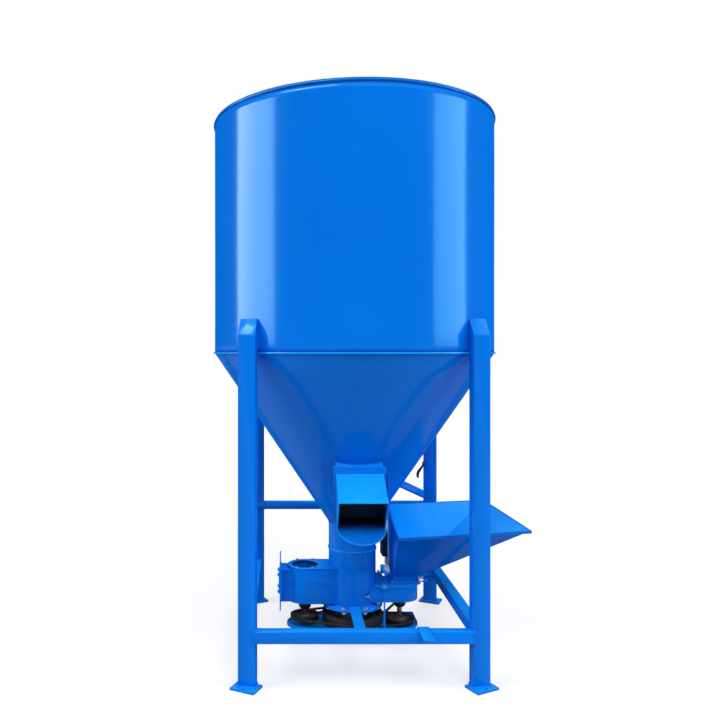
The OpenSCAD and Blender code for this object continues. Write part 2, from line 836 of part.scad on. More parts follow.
module right_top_plate() {
    color("royalblue") difference() {
        union() {
            translate([0, 0, right_top]) linear_extrude(plate_t) right_plan(-1);
            block([hanger_x - hanger_w / 2, -hanger_y - 12, right_top + plate_t],
                [hanger_x + hanger_w / 2, hanger_y + 12, right_top + 2 * plate_t]);
            intake_guide();
        }
        translate([0, 0, right_top - 1]) cylinder(r = neck_r + seat, h = 40);
        block([outlet_x - outlet_w / 2 + sheet, outlet_y - outlet_w / 2 + sheet, right_top - 1],
            [rotor_x + right_r * 0.62, outlet_y + outlet_w / 2 - sheet - 14, guide_z + 1]);
        for (s = [-1, 1]) translate([hanger_x, s * hanger_y, right_top])
            cylinder(d = rod_d + 2 * seat, h = 40, center = true);
    }
}

// Rails on three sides of the intake gate
module intake_guide() {
    x0 = outlet_x - outlet_w / 2 - 10;
    x1 = rotor_x + right_r;
    y0 = outlet_y - outlet_w / 2 - 10;
    y1 = outlet_y + outlet_w / 2 + 10;
    difference() {
        block([x0, y0, guide_z], [x1, y1, collar_z]);
        block([x0 + 8, y0 + 8, guide_z - 1], [x1 + 1, y1 - 8, collar_z + 1]);
    }
}

module intake_gate() {
    z = guide_z + 0.5;
    x0 = outlet_x - outlet_w / 2 - 1;
    x1 = rotor_x + right_r + 17;
    y = outlet_w / 2 + 1.4;
    loop = 26;
    color("dodgerblue") translate([0, 0, z]) difference() {
        union() {
            block([x0, outlet_y - y, 0], [rotor_x + right_r + 8, outlet_y + y, intake_t]);
            block([rotor_x + right_r, outlet_y - loop, 0], [x1, outlet_y + loop, intake_t]);
            translate([x1, outlet_y, 0]) cylinder(r = loop, h = intake_t);
        }
        translate([x1, outlet_y, -1]) cylinder(r = loop - 9, h = intake_t + 2);
    }
}

module right_bearing() {
    color("black") translate([rotor_x, 0, right_z]) rotor_bearing();
}

module right_shaft() {
    translate([rotor_x, 0, 0]) rotor_shaft(level_right, right_top - 8);
}

module right_impeller() {
    color("slategray") translate([rotor_x, 0, right_z + sheet + 3])
        impeller(right_r - sheet - 6, right_h - sheet - 14, 6);
}

// Hopper

module hopper_shell() {
    wall = sheet * 0.75;
    color("royalblue") difference() {
        frustum(outlet_quad, outlet_z, rim_quad, rim_z);
        frustum(inset(outlet_quad, wall), outlet_z - 0.5, inset(rim_quad, wall), rim_z + 0.5);
    }
}

module hopper_rim() {
    color("midnightblue") translate([0, 0, rim_z - 9]) linear_extrude(11) difference() {
        polygon(inset(rim_quad, -7));
        polygon(inset(rim_quad, -seat));
    }
}

module hopper_collar() {
    q = outlet_quad;
    color("royalblue") {
        translate([0, 0, collar_z]) linear_extrude(outlet_z - collar_z) difference() {
            polygon(q);
            polygon(inset(q, sheet));
        }
        translate([0, 0, collar_z]) linear_extrude(4) difference() {
            polygon(inset(q, -10));
            polygon(q);
        }
    }
}

// Motor

module motor_body() {
    z0 = motor_plate_z;
    color("gray") translate([motor_x, motor_y, z0]) difference() {
        union() {
            cylinder(r = motor_r, h = 10);
            translate([0, 0, 10]) cylinder(r1 = motor_core - 8, r2 = motor_core, h = motor_shield - 10);
            translate([0, 0, motor_shield]) cylinder(r = motor_core, h = motor_h);
            for (i = [0 : motor_fins - 1]) rotate(360 / motor_fins * (i + 0.5))
                block([motor_core - 2, -1.5, motor_shield + 4], [motor_r, 1.5, motor_shield + motor_h]);
        }
        translate([0, 0, -1]) cylinder(r = motor_d / 2 + run_fit, h = motor_h * 2);
        block([-motor_r - 5, -36, motor_shield + 40], [-motor_core + 4, 36, motor_shield + motor_h + 1]);
    }
}

module motor_cowl() {
    color("dimgray") translate([motor_x, motor_y, motor_top]) difference() {
        cylinder(r = motor_r - 2, h = cowl_h);
        translate([0, 0, -1]) cylinder(r = motor_r - 4, h = cowl_h - 1);
        for (k = [1 : 3], i = [0 : 8 * k - 1]) rotate(360 / (8 * k) * i)
            translate([18 * k, 0, cowl_h - 5]) cylinder(r = 4.5, h = 10, $fn = 16);
    }
}

module terminal_box() {
    z0 = motor_plate_z + motor_shield + 44;
    x1 = motor_x - motor_core + 4 - seat;
    color("midnightblue") {
        difference() {
            block([x1 - 34, motor_y - 34, z0], [x1, motor_y + 34, z0 + 84]);
            block([x1 - 31, motor_y - 30, z0 + 4], [x1 - 4, motor_y + 30, z0 + 80]);
        }
        translate([x1 - 18, motor_y - 14, z0 + 84]) cylinder(r = 9, h = 12, $fn = 6);
        translate([x1 - 18, motor_y - 14, z0 + 96]) cylinder(r = 7, h = 12);
    }
}

module motor_rotor_shaft() {
    color("silver") translate([motor_x, motor_y, level_motor - rim_w / 2 - 6]) {
        cylinder(d = motor_d, h = motor_top + 34 - level_motor + rim_w / 2 + 6);
        translate([0, 0, motor_top + 8 - level_motor + rim_w / 2 + 6])
            for (i = [0 : 5]) rotate(60 * i) block([0, -1.5, 0], [motor_r - 16, 1.5, 22]);
    }
}

module motor_plate() {
    edge = leg_px - beam / 2;
    w = motor_plate_w;
    rear = motor_y + w - 16;
    z = motor_plate_z;
    color("royalblue") difference() {
        union() {
            block([motor_x - w, motor_y - w, z - motor_plate_t], [edge, rear, z]);
            block([motor_x - w, rear - motor_plate_t, z - motor_fold], [edge, rear, z]);
        }
        translate([motor_x, motor_y, z - 2 * motor_fold]) cylinder(r = motor_d / 2 + 16, h = 3 * motor_fold);
    }
}

// Belt tray and its hangers

module tray_plan(t) {
    end = rotor_pulley_d / 2 + tray_room;
    side = hanger_y + tray_room;
    right = rotor_x + end;
    translate([-rotor_x, 0]) circle(r = end - t, $fn = 96);
    translate([rotor_x, 0]) circle(r = end - t, $fn = 96);
    polygon([
        [-rotor_x, -end + t], [-rotor_x * 0.3, -side + t], [hanger_x + tray_room, -side + t],
        [rotor_x, -end + t], [right - t, 0], [right - t, side - t],
        [rear_hanger[0] - tray_room, rear_hanger[1] + tray_room - t], [-rotor_x, end - t]
    ]);
}

module belt_tray() {
    color("royalblue") difference() {
        union() {
            translate([0, 0, tray_z - tray_t]) linear_extrude(tray_t) tray_plan(0);
            translate([0, 0, tray_z - tray_t]) linear_extrude(tray_rim) difference() {
                tray_plan(0);
                tray_plan(tray_t);
            }
        }
        hanger_spots() cylinder(d = rod_d + 2 * seat, h = 200, center = true);
    }
}

// Copies of a child at the three rods that carry the tray
module hanger_spots() {
    for (p = [[hanger_x, -hanger_y], [hanger_x, hanger_y], rear_hanger])
        translate([p[0], p[1], 0]) children();
}

// Rod with a nut under the tray, a nut on the tray and a nut on what carries it
module hanger(top) {
    low = tray_z - tray_t;
    translate([0, 0, low - 14]) cylinder(d = rod_d, h = top + 24 - low);
    for (z = [low - 8, tray_z, top]) translate([0, 0, z])
        cylinder(r = rod_d * 0.9, h = 8, $fn = 6);
}

module tray_hangers() {
    color("silver") {
        for (s = [-1, 1]) translate([hanger_x, s * hanger_y, 0]) hanger(right_top + 2 * plate_t);
        translate([rear_hanger[0], rear_hanger[1], 0]) hanger(flange_top + strap_t);
    }
}

// Frame

// Place of a leg on side sx and sy, turned so that the child's -Y side faces outwards
module at_leg(sx, sy) {
    scale_y = -sy;
    mirror([sx > 0 ? 1 : 0, 0, 0]) mirror([0, scale_y < 0 ? 1 : 0, 0])
        translate([-leg_px, -leg_py, 0]) rotate(-leg_turn) children();
}

// Outer block of a leg, whole
module leg_block(sx, sy, z0, z1) {
    at_leg(sx, sy) block([-leg_w / 2, -leg_t / 2, z0], [leg_w / 2, leg_t / 2, z1]);
}

// Side outline of a leg with its slanted top, as wide as the leg plus two margins
module leg_slant(grow, drop) {
    z = seam_z + leg_top - drop;
    along_x(-leg_w / 2 - grow, leg_w / 2 + grow, [[-leg_t / 2 - grow, z - grow * leg_rise / leg_t],
        [leg_t / 2 + grow, z + leg_rise + grow * leg_rise / leg_t],
        [leg_t / 2 + grow, z + leg_rise + 200], [-leg_t / 2 - grow, z + leg_rise + 200]]);
}

module leg(sx, sy) {
    w = leg_w / 2;
    t = leg_t / 2;
    at_leg(sx, sy) {
        difference() {
            block([-w, -t, foot_t], [w, t, seam_z + leg_top + leg_rise]);
            block([-w + tube_wall, -t + tube_wall, 0],
                [w - tube_wall, t - tube_wall, seam_z + leg_top + leg_rise + 1]);
            leg_slant(1, tube_wall);
        }
        along_x(-w, w, [[-t, seam_z + leg_top - tube_wall],
            [t, seam_z + leg_top + leg_rise - tube_wall],
            [t, seam_z + leg_top + leg_rise], [-t, seam_z + leg_top]]);
    }
}

module legs() {
    color("royalblue") for (sx = [-1, 1], sy = [-1, 1]) leg(sx, sy);
}

module leg_pads() {
    z0 = seam_z + 12;
    color("royalblue") for (sx = [-1, 1], sy = [-1, 1]) difference() {
        at_leg(sx, sy) block([-leg_w / 2 + 6, leg_t / 2, z0], [leg_w / 2, leg_t, z0 + leg_rise]);
        translate([0, 0, z0 - 1]) cylinder(r = drum_r + seat, h = leg_rise + 2, $fn = 160);
    }
}

// Place of a foot plate under a leg
module at_foot(sx, sy) {
    mirror([sx > 0 ? 1 : 0, 0, 0]) mirror([0, sy > 0 ? 1 : 0, 0])
        translate([-leg_px, -leg_py, 0]) rotate(-foot_turn) children();
}

module foot_plates() {
    color("royalblue") for (sx = [-1, 1], sy = [-1, 1]) at_foot(sx, sy) difference() {
        block([-foot_l / 2, -anchor_y - 12, 0], [foot_l / 2, foot_w - anchor_y - 12, foot_t]);
        translate([0, -anchor_y, -1]) cylinder(d = anchor_d, h = foot_t + 2);
    }
}

// Square tube along X or Y with its wall
module hollow(a, b, wall, along) {
    in0 = [for (k = [0 : 2]) k == along ? a[k] - 1 : a[k] + wall];
    in1 = [for (k = [0 : 2]) k == along ? b[k] + 1 : b[k] - wall];
    difference() {
        block(a, b);
        block(in0, in1);
    }
}

// Low beams and the rear cross beam; the front one ends at the inner corners of the legs' faces
module beams() {
    x = leg_px;
    y = leg_py;
    h = beam / 2;
    front_x = x - (leg_w * cos(leg_turn) - leg_t * sin(leg_turn)) / 2 + 0.4;
    color("royalblue") difference() {
        union() {
            hollow([-front_x, -y - h - 10, beam_z], [front_x, -y + h - 10, beam_z + beam], tube_wall, 0);
            for (s = [-1, 1]) hollow([s * x - h, -y, beam_z], [s * x + h, y, beam_z + beam], tube_wall, 1);
            hollow([-x, y - h, rear_beam_z], [x, y + h, rear_beam_z + rear_beam_h], tube_wall, 0);
        }
        for (sx = [-1, 1], sy = [-1, 1]) leg_block(sx, sy, 0, seam_z);
    }
}

module straps() {
    tab_x = 205;
    color("royalblue") {
        difference() {
            block([-strap_w / 2, -leg_py + beam / 2 - 22, flange_top], [strap_w / 2, 0, beam_z]);
            translate([0, 0, flange_top - 1]) cylinder(r = neck_r + seat, h = strap_t + 2);
            translate([0, 0, flange_top]) bolt_ring() cylinder(r = 12, h = 30, center = true);
        }
        difference() {
            rotate(atan2(rear_hanger[1], rear_hanger[0]))
                block([0, -15, flange_top], [norm(rear_hanger) + 14, 15, beam_z]);
            translate([0, 0, flange_top - 1]) cylinder(r = neck_r + seat, h = strap_t + 2);
            translate([0, 0, flange_top]) bolt_ring() cylinder(r = 12, h = 30, center = true);
            hanger_spots() cylinder(d = rod_d + 2 * seat, h = 400);
        }
        block([tab_x - strap_w / 2, -leg_py - beam / 2 - 92, beam_z + beam],
            [tab_x + strap_w / 2, -leg_py + beam / 2 - 10, beam_z + beam + 5]);
    }
}

// Flat bar from the cone down to the inner side of the rear right leg
module cone_stay() {
    z0 = cone_z + stay_up;
    z1 = cone_z + stay_drop;
    r0 = cone_r(z0);
    a = atan2(leg_py + leg_t / 8, leg_px - leg_w / 2);
    r1 = norm([leg_px - leg_w / 2, leg_py]);
    color("royalblue") difference() {
        rotate(a) rotate([90, 0, 0]) translate([0, 0, -stay_w / 2]) linear_extrude(stay_w) polygon([
            [r0 - stay_h, z0 + stay_h], [r1 + 20, z1], [r1 + 20, z1 - stay_h], [r0 - stay_h, z0]]);
        translate([0, 0, cone_z]) cylinder(r1 = neck_r + seat, r2 = drum_r + seat, h = cone_h, $fn = 160);
        leg_block(1, 1, 0, seam_z);
    }
}

// Hexagon screw head on its washer, standing on the XY plane
module screw_head(d) {
    cylinder(r = d * 1.1, h = 1.2, $fn = 24);
    translate([0, 0, 1.2]) cylinder(r = d * 0.92, h = d * 0.65, $fn = 6);
}

// Screws of the two housings' top plates and the hopper's collar, the clamp bolt at the neck
// and the stop bolt beside the intake gate
module housing_bolts() {
    o = outlet_w / 2 + 5;
    color("silver") {
        for (a = [60, 120, 240, 300]) translate([-rotor_x, 0, left_top + sheet]) rotate(a)
            translate([left_hole_d / 2 + 9, 0, 0]) screw_head(screw_d);
        for (x = [-1, 1], y = [-1, 1]) translate([outlet_x + x * o, outlet_y + y * o, collar_z + 4])
            screw_head(screw_d * 0.7);
        for (a = [-110, -62]) translate([rotor_x, 0, guide_z]) rotate(a)
            translate([right_r - 6, 0, 0]) screw_head(screw_d * 0.7);
        translate([outlet_x + o, outlet_y - o, collar_z + 4]) {
            cylinder(d = screw_d, h = 24);
            translate([0, 0, 17]) cylinder(r = screw_d * 0.9, h = 5, $fn = 6);
        }
        translate([lug_x, -right_r - 18, right_z + 29]) rotate([0, -90, 0]) {
            screw_head(screw_d * 1.3);
            cylinder(d = screw_d * 1.3, h = 15);
        }
    }
}

drum_shell();
rim_bead();
seam_rings();
cone_shell();
neck_tube();
base_flange();
base_plate();
flange_bolts();
lower_bearing();
drum_lid();
lid_bridge();
top_bearing();
hatch_collar();
hatch_door();
hatch_hinge_pin();
lift_tube();
lift_tube_stays();
auger_shaft();
auger_flight();
centre_pulley();
spout_collar();
gate_frame();
discharge_gate();
spout_chute();
left_housing();
left_top_plate();
left_flange();
left_cover();
left_bearing();
left_shaft();
left_impeller();
left_pulley();
left_belt();
right_housing();
right_top_plate();
intake_gate();
right_bearing();
right_shaft();
right_impeller();
right_pulley();
right_belt();
hopper_shell();
hopper_rim();
hopper_collar();
motor_body();
motor_cowl();
terminal_box();
motor_rotor_shaft();
motor_pulley();
motor_belt();
motor_plate();
belt_tray();
tray_hangers();
legs();
leg_pads();
foot_plates();
beams();
straps();
cone_stay();
housing_bolts();
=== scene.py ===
"""Looks of a vertical feed mixer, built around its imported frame.

Each sub-assembly is a class with its sizes as fields, and each finish is a frozen dataclass. New
pieces are numpy surfaces: rings of points with quads between them. Lengths are in metres.
"""

from __future__ import annotations

import json
import logging
import math
from dataclasses import dataclass, field
from enum import Enum
from typing import Callable, Iterable, Sequence

import bpy
import numpy as np
from mathutils import Euler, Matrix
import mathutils

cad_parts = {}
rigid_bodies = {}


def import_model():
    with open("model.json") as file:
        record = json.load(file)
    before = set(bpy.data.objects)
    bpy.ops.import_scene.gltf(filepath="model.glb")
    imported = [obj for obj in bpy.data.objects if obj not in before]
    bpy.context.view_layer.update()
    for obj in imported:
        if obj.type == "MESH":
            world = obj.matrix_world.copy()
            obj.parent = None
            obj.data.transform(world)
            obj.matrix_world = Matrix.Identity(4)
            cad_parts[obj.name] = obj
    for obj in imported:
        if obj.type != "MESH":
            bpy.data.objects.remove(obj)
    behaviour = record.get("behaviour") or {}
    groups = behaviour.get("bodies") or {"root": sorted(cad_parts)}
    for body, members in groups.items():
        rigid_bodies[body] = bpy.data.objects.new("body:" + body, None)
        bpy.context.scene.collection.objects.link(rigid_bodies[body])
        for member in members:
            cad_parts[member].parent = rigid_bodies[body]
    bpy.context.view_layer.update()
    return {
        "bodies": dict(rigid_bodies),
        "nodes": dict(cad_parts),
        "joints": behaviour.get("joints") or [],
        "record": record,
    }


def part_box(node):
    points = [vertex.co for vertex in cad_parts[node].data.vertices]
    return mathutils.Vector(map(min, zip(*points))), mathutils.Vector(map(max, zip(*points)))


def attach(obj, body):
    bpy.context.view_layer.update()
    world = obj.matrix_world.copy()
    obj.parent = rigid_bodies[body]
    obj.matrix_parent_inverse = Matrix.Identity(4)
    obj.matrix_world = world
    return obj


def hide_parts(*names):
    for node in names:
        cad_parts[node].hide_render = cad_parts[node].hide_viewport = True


LOG = logging.getLogger("mixer")
TAU = 2.0 * math.pi

Colour = tuple[float, float, float]
Vector = Sequence[float]
Points = np.ndarray
Socket = bpy.types.NodeSocket
Groups = dict[str, bpy.types.NodeTree]

X_AXIS: Vector = (1.0, 0.0, 0.0)
Y_AXIS: Vector = (0.0, 1.0, 0.0)
Z_AXIS: Vector = (0.0, 0.0, 1.0)
SIDES = (-1, 1)
BOTH = (False, True)

WHITE: Colour = (1.0, 1.0, 1.0)
# The pale cyan that enamel turns towards where it faces up: painted light from above
TOP_LIGHT_TINT: Colour = (0.01, 0.42, 0.92)
MEAL_DUST: Colour = (0.42, 0.52, 0.62)
GREY_DUST: Colour = (0.16, 0.15, 0.13)
BARE_IRON: Colour = (0.22, 0.22, 0.23)

# How far a bead's middle stands off the surface that it is laid on
SKIN = 0.0006


class Body(str, Enum):
    """The bodies of the frame that pieces ride on."""

    ROOT = "root"
    AUGER = "auger"
    LEFT_ROTOR = "left_rotor"
    RIGHT_ROTOR = "right_rotor"
    MOTOR_ROTOR = "motor_rotor"
    HATCH = "hatch"


class Slot(str, Enum):
    """The record's material slots."""

    BLUE = "blue_paint"
    # A lighter copy of the blue, standing in for light on the parts that catch more of it
    LIT_TRIM = "blue_trim"
    EDGE = "dark_edge"
    ZINC = "zinc_steel"
    SHAFT = "shaft_steel"
    MILL = "mill_steel"
    IRON = "black_iron"
    BELT = "belt_rubber"
    MOTOR = "motor_grey"
    NAVY = "navy_box"


# Shader graphs


class Graph:
    """A node tree with short ways to add and join nodes."""

    def __init__(self, tree: bpy.types.NodeTree) -> None:
        """Keeps the tree and empties it."""
        self.tree = tree
        tree.nodes.clear()

    def add(self, kind: str, inputs: dict[str, object] | None = None,
            **values: object) -> bpy.types.Node:
        """Adds a node.

        Args:
            kind: Blender's name of the node type.
            inputs: what goes into its inputs, by name.
            values: attributes to set on it first.

        Returns:
            The new node.
        """
        node = self.tree.nodes.new(kind)
        for name, value in values.items():
            setattr(node, name, value)
        for name, value in (inputs or {}).items():
            self.feed(node.inputs[name], value)
        return node

    def feed(self, socket: Socket, value: object) -> None:
        """Links a socket into another, or sets a plain value on it; a colour gets its alpha."""
        if isinstance(value, Socket):
            self.tree.links.new(value, socket)
        elif isinstance(value, tuple) and socket.type == "RGBA":
            socket.default_value = value + (1.0,)
        else:
            socket.default_value = value

    def math(self, operation: str, a: object, b: object = 0.0, clamp: bool = False) -> Socket:
        """Adds a math node and returns its value."""
        node = self.add("ShaderNodeMath", operation=operation, use_clamp=clamp)
        self.feed(node.inputs[0], a)
        self.feed(node.inputs[1], b)
        return node.outputs[0]

    def plus(self, a: object, b: object, clamp: bool = False) -> Socket:
        """The sum of two values."""
        return self.math("ADD", a, b, clamp)

    def times(self, a: object, b: object, clamp: bool = False) -> Socket:
        """The product of two values."""
        return self.math("MULTIPLY", a, b, clamp)

    def larger(self, a: object, b: object) -> Socket:
        """The larger of two values."""
        return self.math("MAXIMUM", a, b)

    def between(self, share: object, a: float, b: float) -> Socket:
        """A number between a and b by a share: a + share * (b - a)."""
        return self.plus(a, self.times(share, b - a))

    def ramp(self, value: object, low: float, high: float) -> Socket:
        """Maps a value from low..high to 0..1 with soft ends."""
        node = self.add("ShaderNodeMapRange", {"Value": value, "From Min": low, "From Max": high},
                        interpolation_type="SMOOTHSTEP")
        return node.outputs["Result"]

    def mix(self, share: object, a: object, b: object) -> Socket:
        """Mixes two colours by a share and returns the colour."""
        node = self.add("ShaderNodeMix", data_type="RGBA")
        for label, value in (("Factor", share), ("A", a), ("B", b)):
            self.feed(node.inputs[label], value)
        return node.outputs["Result"]

    def noise(self, where: object, scale: object, detail: float = 2.0,
              rough: float = 0.5) -> Socket:
        """Adds a noise texture and returns its value."""
        values = {"Vector": where, "Scale": scale, "Detail": detail, "Roughness": rough}
        return self.add("ShaderNodeTexNoise", values).outputs["Fac"]

    def place(self) -> Socket:
        """Object coordinates; in a world these are the ray's direction."""
        return self.add("ShaderNodeTexCoord").outputs["Object"]

    def along(self, vector: Socket, axis: str) -> Socket:
        """One coordinate of a vector."""
        return self.add("ShaderNodeSeparateXYZ", {"Vector": vector}).outputs[axis]

    def group(self, tree: bpy.types.NodeTree, where: object, **values: float) -> dict[str, Socket]:
        """Places a node group.

        Args:
            tree: the node group.
            where: the coordinates that it reads.
            values: input names, with underscores for spaces, and their values.

        Returns:
            The group's outputs.
        """
        inputs = {label.replace("_", " "): value for label, value in values.items()}
        return self.add("ShaderNodeGroup", {"Vector": where, **inputs}, node_tree=tree).outputs


def shade_group(name: str, inputs: dict[str, float], outputs: Sequence[str],
                build: Callable[[Graph, dict], dict[str, Socket]]) -> bpy.types.NodeTree:
    """Makes a shader node group with a vector input and named float inputs and outputs.

    Args:
        name: the group's name.
        inputs: each float input's name and default value.
        outputs: each output's name.
        build: fills the group from its inputs and tells what goes into each output.

    Returns:
        The node group.
    """
    tree = bpy.data.node_groups.new(name, "ShaderNodeTree")
    tree.interface.new_socket("Vector", in_out="INPUT", socket_type="NodeSocketVector")
    for label, value in inputs.items():
        made = tree.interface.new_socket(label, in_out="INPUT", socket_type="NodeSocketFloat")
        made.default_value = value
    for label in outputs:
        tree.interface.new_socket(label, in_out="OUTPUT", socket_type="NodeSocketFloat")
    graph = Graph(tree)
    graph.add("NodeGroupOutput", build(graph, graph.add("NodeGroupInput").outputs))
    return tree


def paint_skin(graph: Graph, given: dict) -> dict[str, Socket]:
    """Sprayed enamel: orange peel, broad unevenness of the sheet, clouds and overspray specks."""
    where = given["Vector"]
    peel = graph.times(graph.noise(where, 210.0), given["Peel"])
    sheet = graph.times(graph.noise(where, 2.6, 1.0), given["Sheet"])
    return {
        "Height": graph.plus(peel, sheet),
        "Cloud": graph.ramp(graph.noise(where, 1.7, 3.0), 0.3, 0.7),
        "Specks": graph.ramp(graph.noise(where, 38.0, 3.0, 0.7), 0.60, 0.80),
    }


def settled_dust(graph: Graph, given: dict) -> dict[str, Socket]:
    """Meal dust where a surface faces up, broken by noise, and how far the surface faces up."""
    normal = graph.add("ShaderNodeNewGeometry").outputs["Normal"]
    up = graph.ramp(graph.along(normal, "Z"), 0.3, 1.0)
    broken = graph.ramp(graph.noise(given["Vector"], 30.0, 5.0, 0.7), 0.45, 0.8)
    return {"Mask": graph.times(graph.times(up, broken), given["Amount"], True), "Up": up}


def edge_wear(graph: Graph, given: dict) -> dict[str, Socket]:
    """Bare edges: the mesh's own pointiness, broken into chips by noise."""
    edge = graph.ramp(graph.add("ShaderNodeNewGeometry").outputs["Pointiness"], 0.53, 0.62)
    chips = graph.ramp(graph.noise(given["Vector"], given["Chip Scale"], 6.0, 0.7), 0.52, 0.64)
    return {"Mask": graph.times(graph.times(edge, chips), given["Amount"], True)}


def metal_grain(graph: Graph, given: dict) -> dict[str, Socket]:
    """Turned or rolled metal: fine rings along Z and cloudy stains."""
    stretched = graph.add("ShaderNodeVectorMath", operation="MULTIPLY")
    graph.feed(stretched.inputs[0], given["Vector"])
    graph.feed(stretched.inputs[1], (4.0, 4.0, 900.0))
    return {
        "Lines": graph.noise(stretched.outputs[0], 1.0),
        "Stains": graph.noise(given["Vector"], given["Stain Scale"], 5.0, 0.65),
    }


def shared_groups() -> Groups:
    """The node groups that the finishes share, each built once."""
    rows = (
        ("paint_skin", {"Peel": 0.3, "Sheet": 0.5}, ("Height", "Cloud", "Specks"), paint_skin),
        ("settled_dust", {"Amount": 0.3}, ("Mask", "Up"), settled_dust),
        ("edge_wear", {"Amount": 0.4, "Chip Scale": 60.0}, ("Mask",), edge_wear),
        ("metal_grain", {"Stain Scale": 14.0}, ("Lines", "Stains"), metal_grain),
    )
    return {row[0]: shade_group(*row) for row in rows}


def shaded(colour: Colour, share: float) -> Colour:
    """The colour times a share, kept below one."""
    return tuple(min(1.0, c * share) for c in colour)


# Finishes


@dataclass
class Look:
    """What goes into a Principled shader: inputs by name, and a height for the bump.

    The bump's strength and distance are those of Blender's bump node.
    """

    inputs: dict[str, object]
    height: Socket | None = None
    strength: float = 0.3
    distance: float = 0.001


@dataclass(frozen=True)
class Finish:
    """A material around one Principled shader."""

    name: str

    def look(self, graph: Graph, groups: Groups) -> Look:
        """Builds the nodes before the shader.

        Args:
            graph: the material's graph.
            groups: the shared node groups.

        Returns:
            What goes into the shader.
        """
        raise NotImplementedError

    def make(self, groups: Groups) -> bpy.types.Material:
        """Builds the material.

        Args:
            groups: the shared node groups.

        Returns:
            The material.
        """
        made = bpy.data.materials.new(self.name)
        made.use_nodes = True
        graph = Graph(made.node_tree)
        look = self.look(graph, groups)
        if look.height is not None:
            bump = {"Strength": look.strength, "Distance": look.distance, "Height": look.height}
            look.inputs["Normal"] = graph.add("ShaderNodeBump", bump).outputs[0]
        shader = graph.add("ShaderNodeBsdfPrincipled", look.inputs)
        graph.add("ShaderNodeOutputMaterial", {"Surface": shader.outputs[0]})
        return made


@dataclass(frozen=True)
class Enamel(Finish):
    """Glossy sprayed enamel on sheet steel."""

    colour: Colour
    roughness: float = 0.15
    gloss: float = 0.26
    coat: float = 0.04
    peel: float = 0.16
    sheet: float = 0.5
    wear: float = 0.12
    dust: float = 0.05
    # How far the colour turns to the painted top light where the surface faces up
    top_light: float = 0.36

    def look(self, graph: Graph, groups: Groups) -> Look:
        """Clouded colour, with painted light where it faces up, chipped edges and dust on top.

        Orange peel and the sheet's own unevenness go into the bump. The gloss dies away where the
        surface is seen along its own plane.
        """
        where = graph.place()
        skin = graph.group(groups["paint_skin"], where, Peel=self.peel, Sheet=self.sheet)
        chips = graph.group(groups["edge_wear"], where, Amount=self.wear)["Mask"]
        dust_and_top_light = graph.group(groups["settled_dust"], where, Amount=self.dust)
        dust = dust_and_top_light["Mask"]
        # Painted light: where the surface faces up the colour turns paler and more cyan, as if lit
        # from above
        lit_top = tuple(c + (f - c) * self.top_light for c, f in zip(self.colour, TOP_LIGHT_TINT))
        colour = graph.mix(skin["Cloud"], shaded(self.colour, 0.96), shaded(self.colour, 1.03))
        colour = graph.mix(chips, colour, shaded(self.colour, 0.4))
        colour = graph.mix(dust_and_top_light["Up"], colour, lit_top)
        rough = graph.plus(self.roughness, graph.times(skin["Specks"], 0.06))
        edge_on = graph.ramp(graph.add("ShaderNodeLayerWeight").outputs["Facing"], 0.40, 0.72)
        return Look({
            "Base Color": graph.mix(dust, colour, MEAL_DUST),
            "Roughness": graph.plus(rough, graph.times(dust, 0.5), True),
            "Specular IOR Level": graph.between(edge_on, self.gloss, 0.0),
            "Specular Tint": (0.40, 0.85, 1.0),
            "Coat Weight": self.coat,
            "Coat Roughness": 0.06,
        }, skin["Height"])


@dataclass(frozen=True)
class Steel(Finish):
    """Bare or plated steel with turning marks and stains."""

    colour: Colour
    roughness: float = 0.32
    stain: float = 0.25
    stain_colour: Colour = (0.20, 0.16, 0.12)

    def look(self, graph: Graph, groups: Groups) -> Look:
        """Metal with fine rings, stained in clouds."""
        grain = graph.group(groups["metal_grain"], graph.place())
        share = graph.times(graph.ramp(grain["Stains"], 0.50, 0.78), self.stain)
        rough = graph.plus(self.roughness, graph.times(grain["Lines"], 0.14))
        return Look({
            "Base Color": graph.mix(share, self.colour, self.stain_colour),
            "Metallic": graph.between(share, 1.0, 0.2),
            "Roughness": graph.plus(rough, graph.times(share, 0.4), True),
        }, grain["Lines"], 0.12, 0.0004)


@dataclass(frozen=True)
class Casting(Finish):
    """Rough cast iron, painted or browned by use, and rubbed bright on its edges."""

    colour: Colour = (0.008, 0.009, 0.010)
    grease: Colour = (0.020, 0.020, 0.020)
    rubbed: float = 0.30
    dust: float = 0.05

    def look(self, graph: Graph, groups: Groups) -> Look:
        """Sandy grain, greasy variation, rubbed edges and a little dust."""
        where = graph.place()
        grease = graph.ramp(graph.noise(where, 22.0, 4.0, 0.6), 0.35, 0.7)
        wear = graph.group(groups["edge_wear"], where, Amount=self.rubbed, Chip_Scale=90.0)["Mask"]
        dust = graph.group(groups["settled_dust"], where, Amount=self.dust)["Mask"]
        colour = graph.mix(wear, graph.mix(grease, self.colour, self.grease), BARE_IRON)
        return Look({
            "Base Color": graph.mix(dust, colour, GREY_DUST),
            "Metallic": graph.times(wear, 0.9),
            "Roughness": graph.between(grease, 0.66, 0.46),
            "Specular IOR Level": 0.35,
        }, graph.noise(where, 420.0, 3.0, 0.7), 0.5, 0.0009)


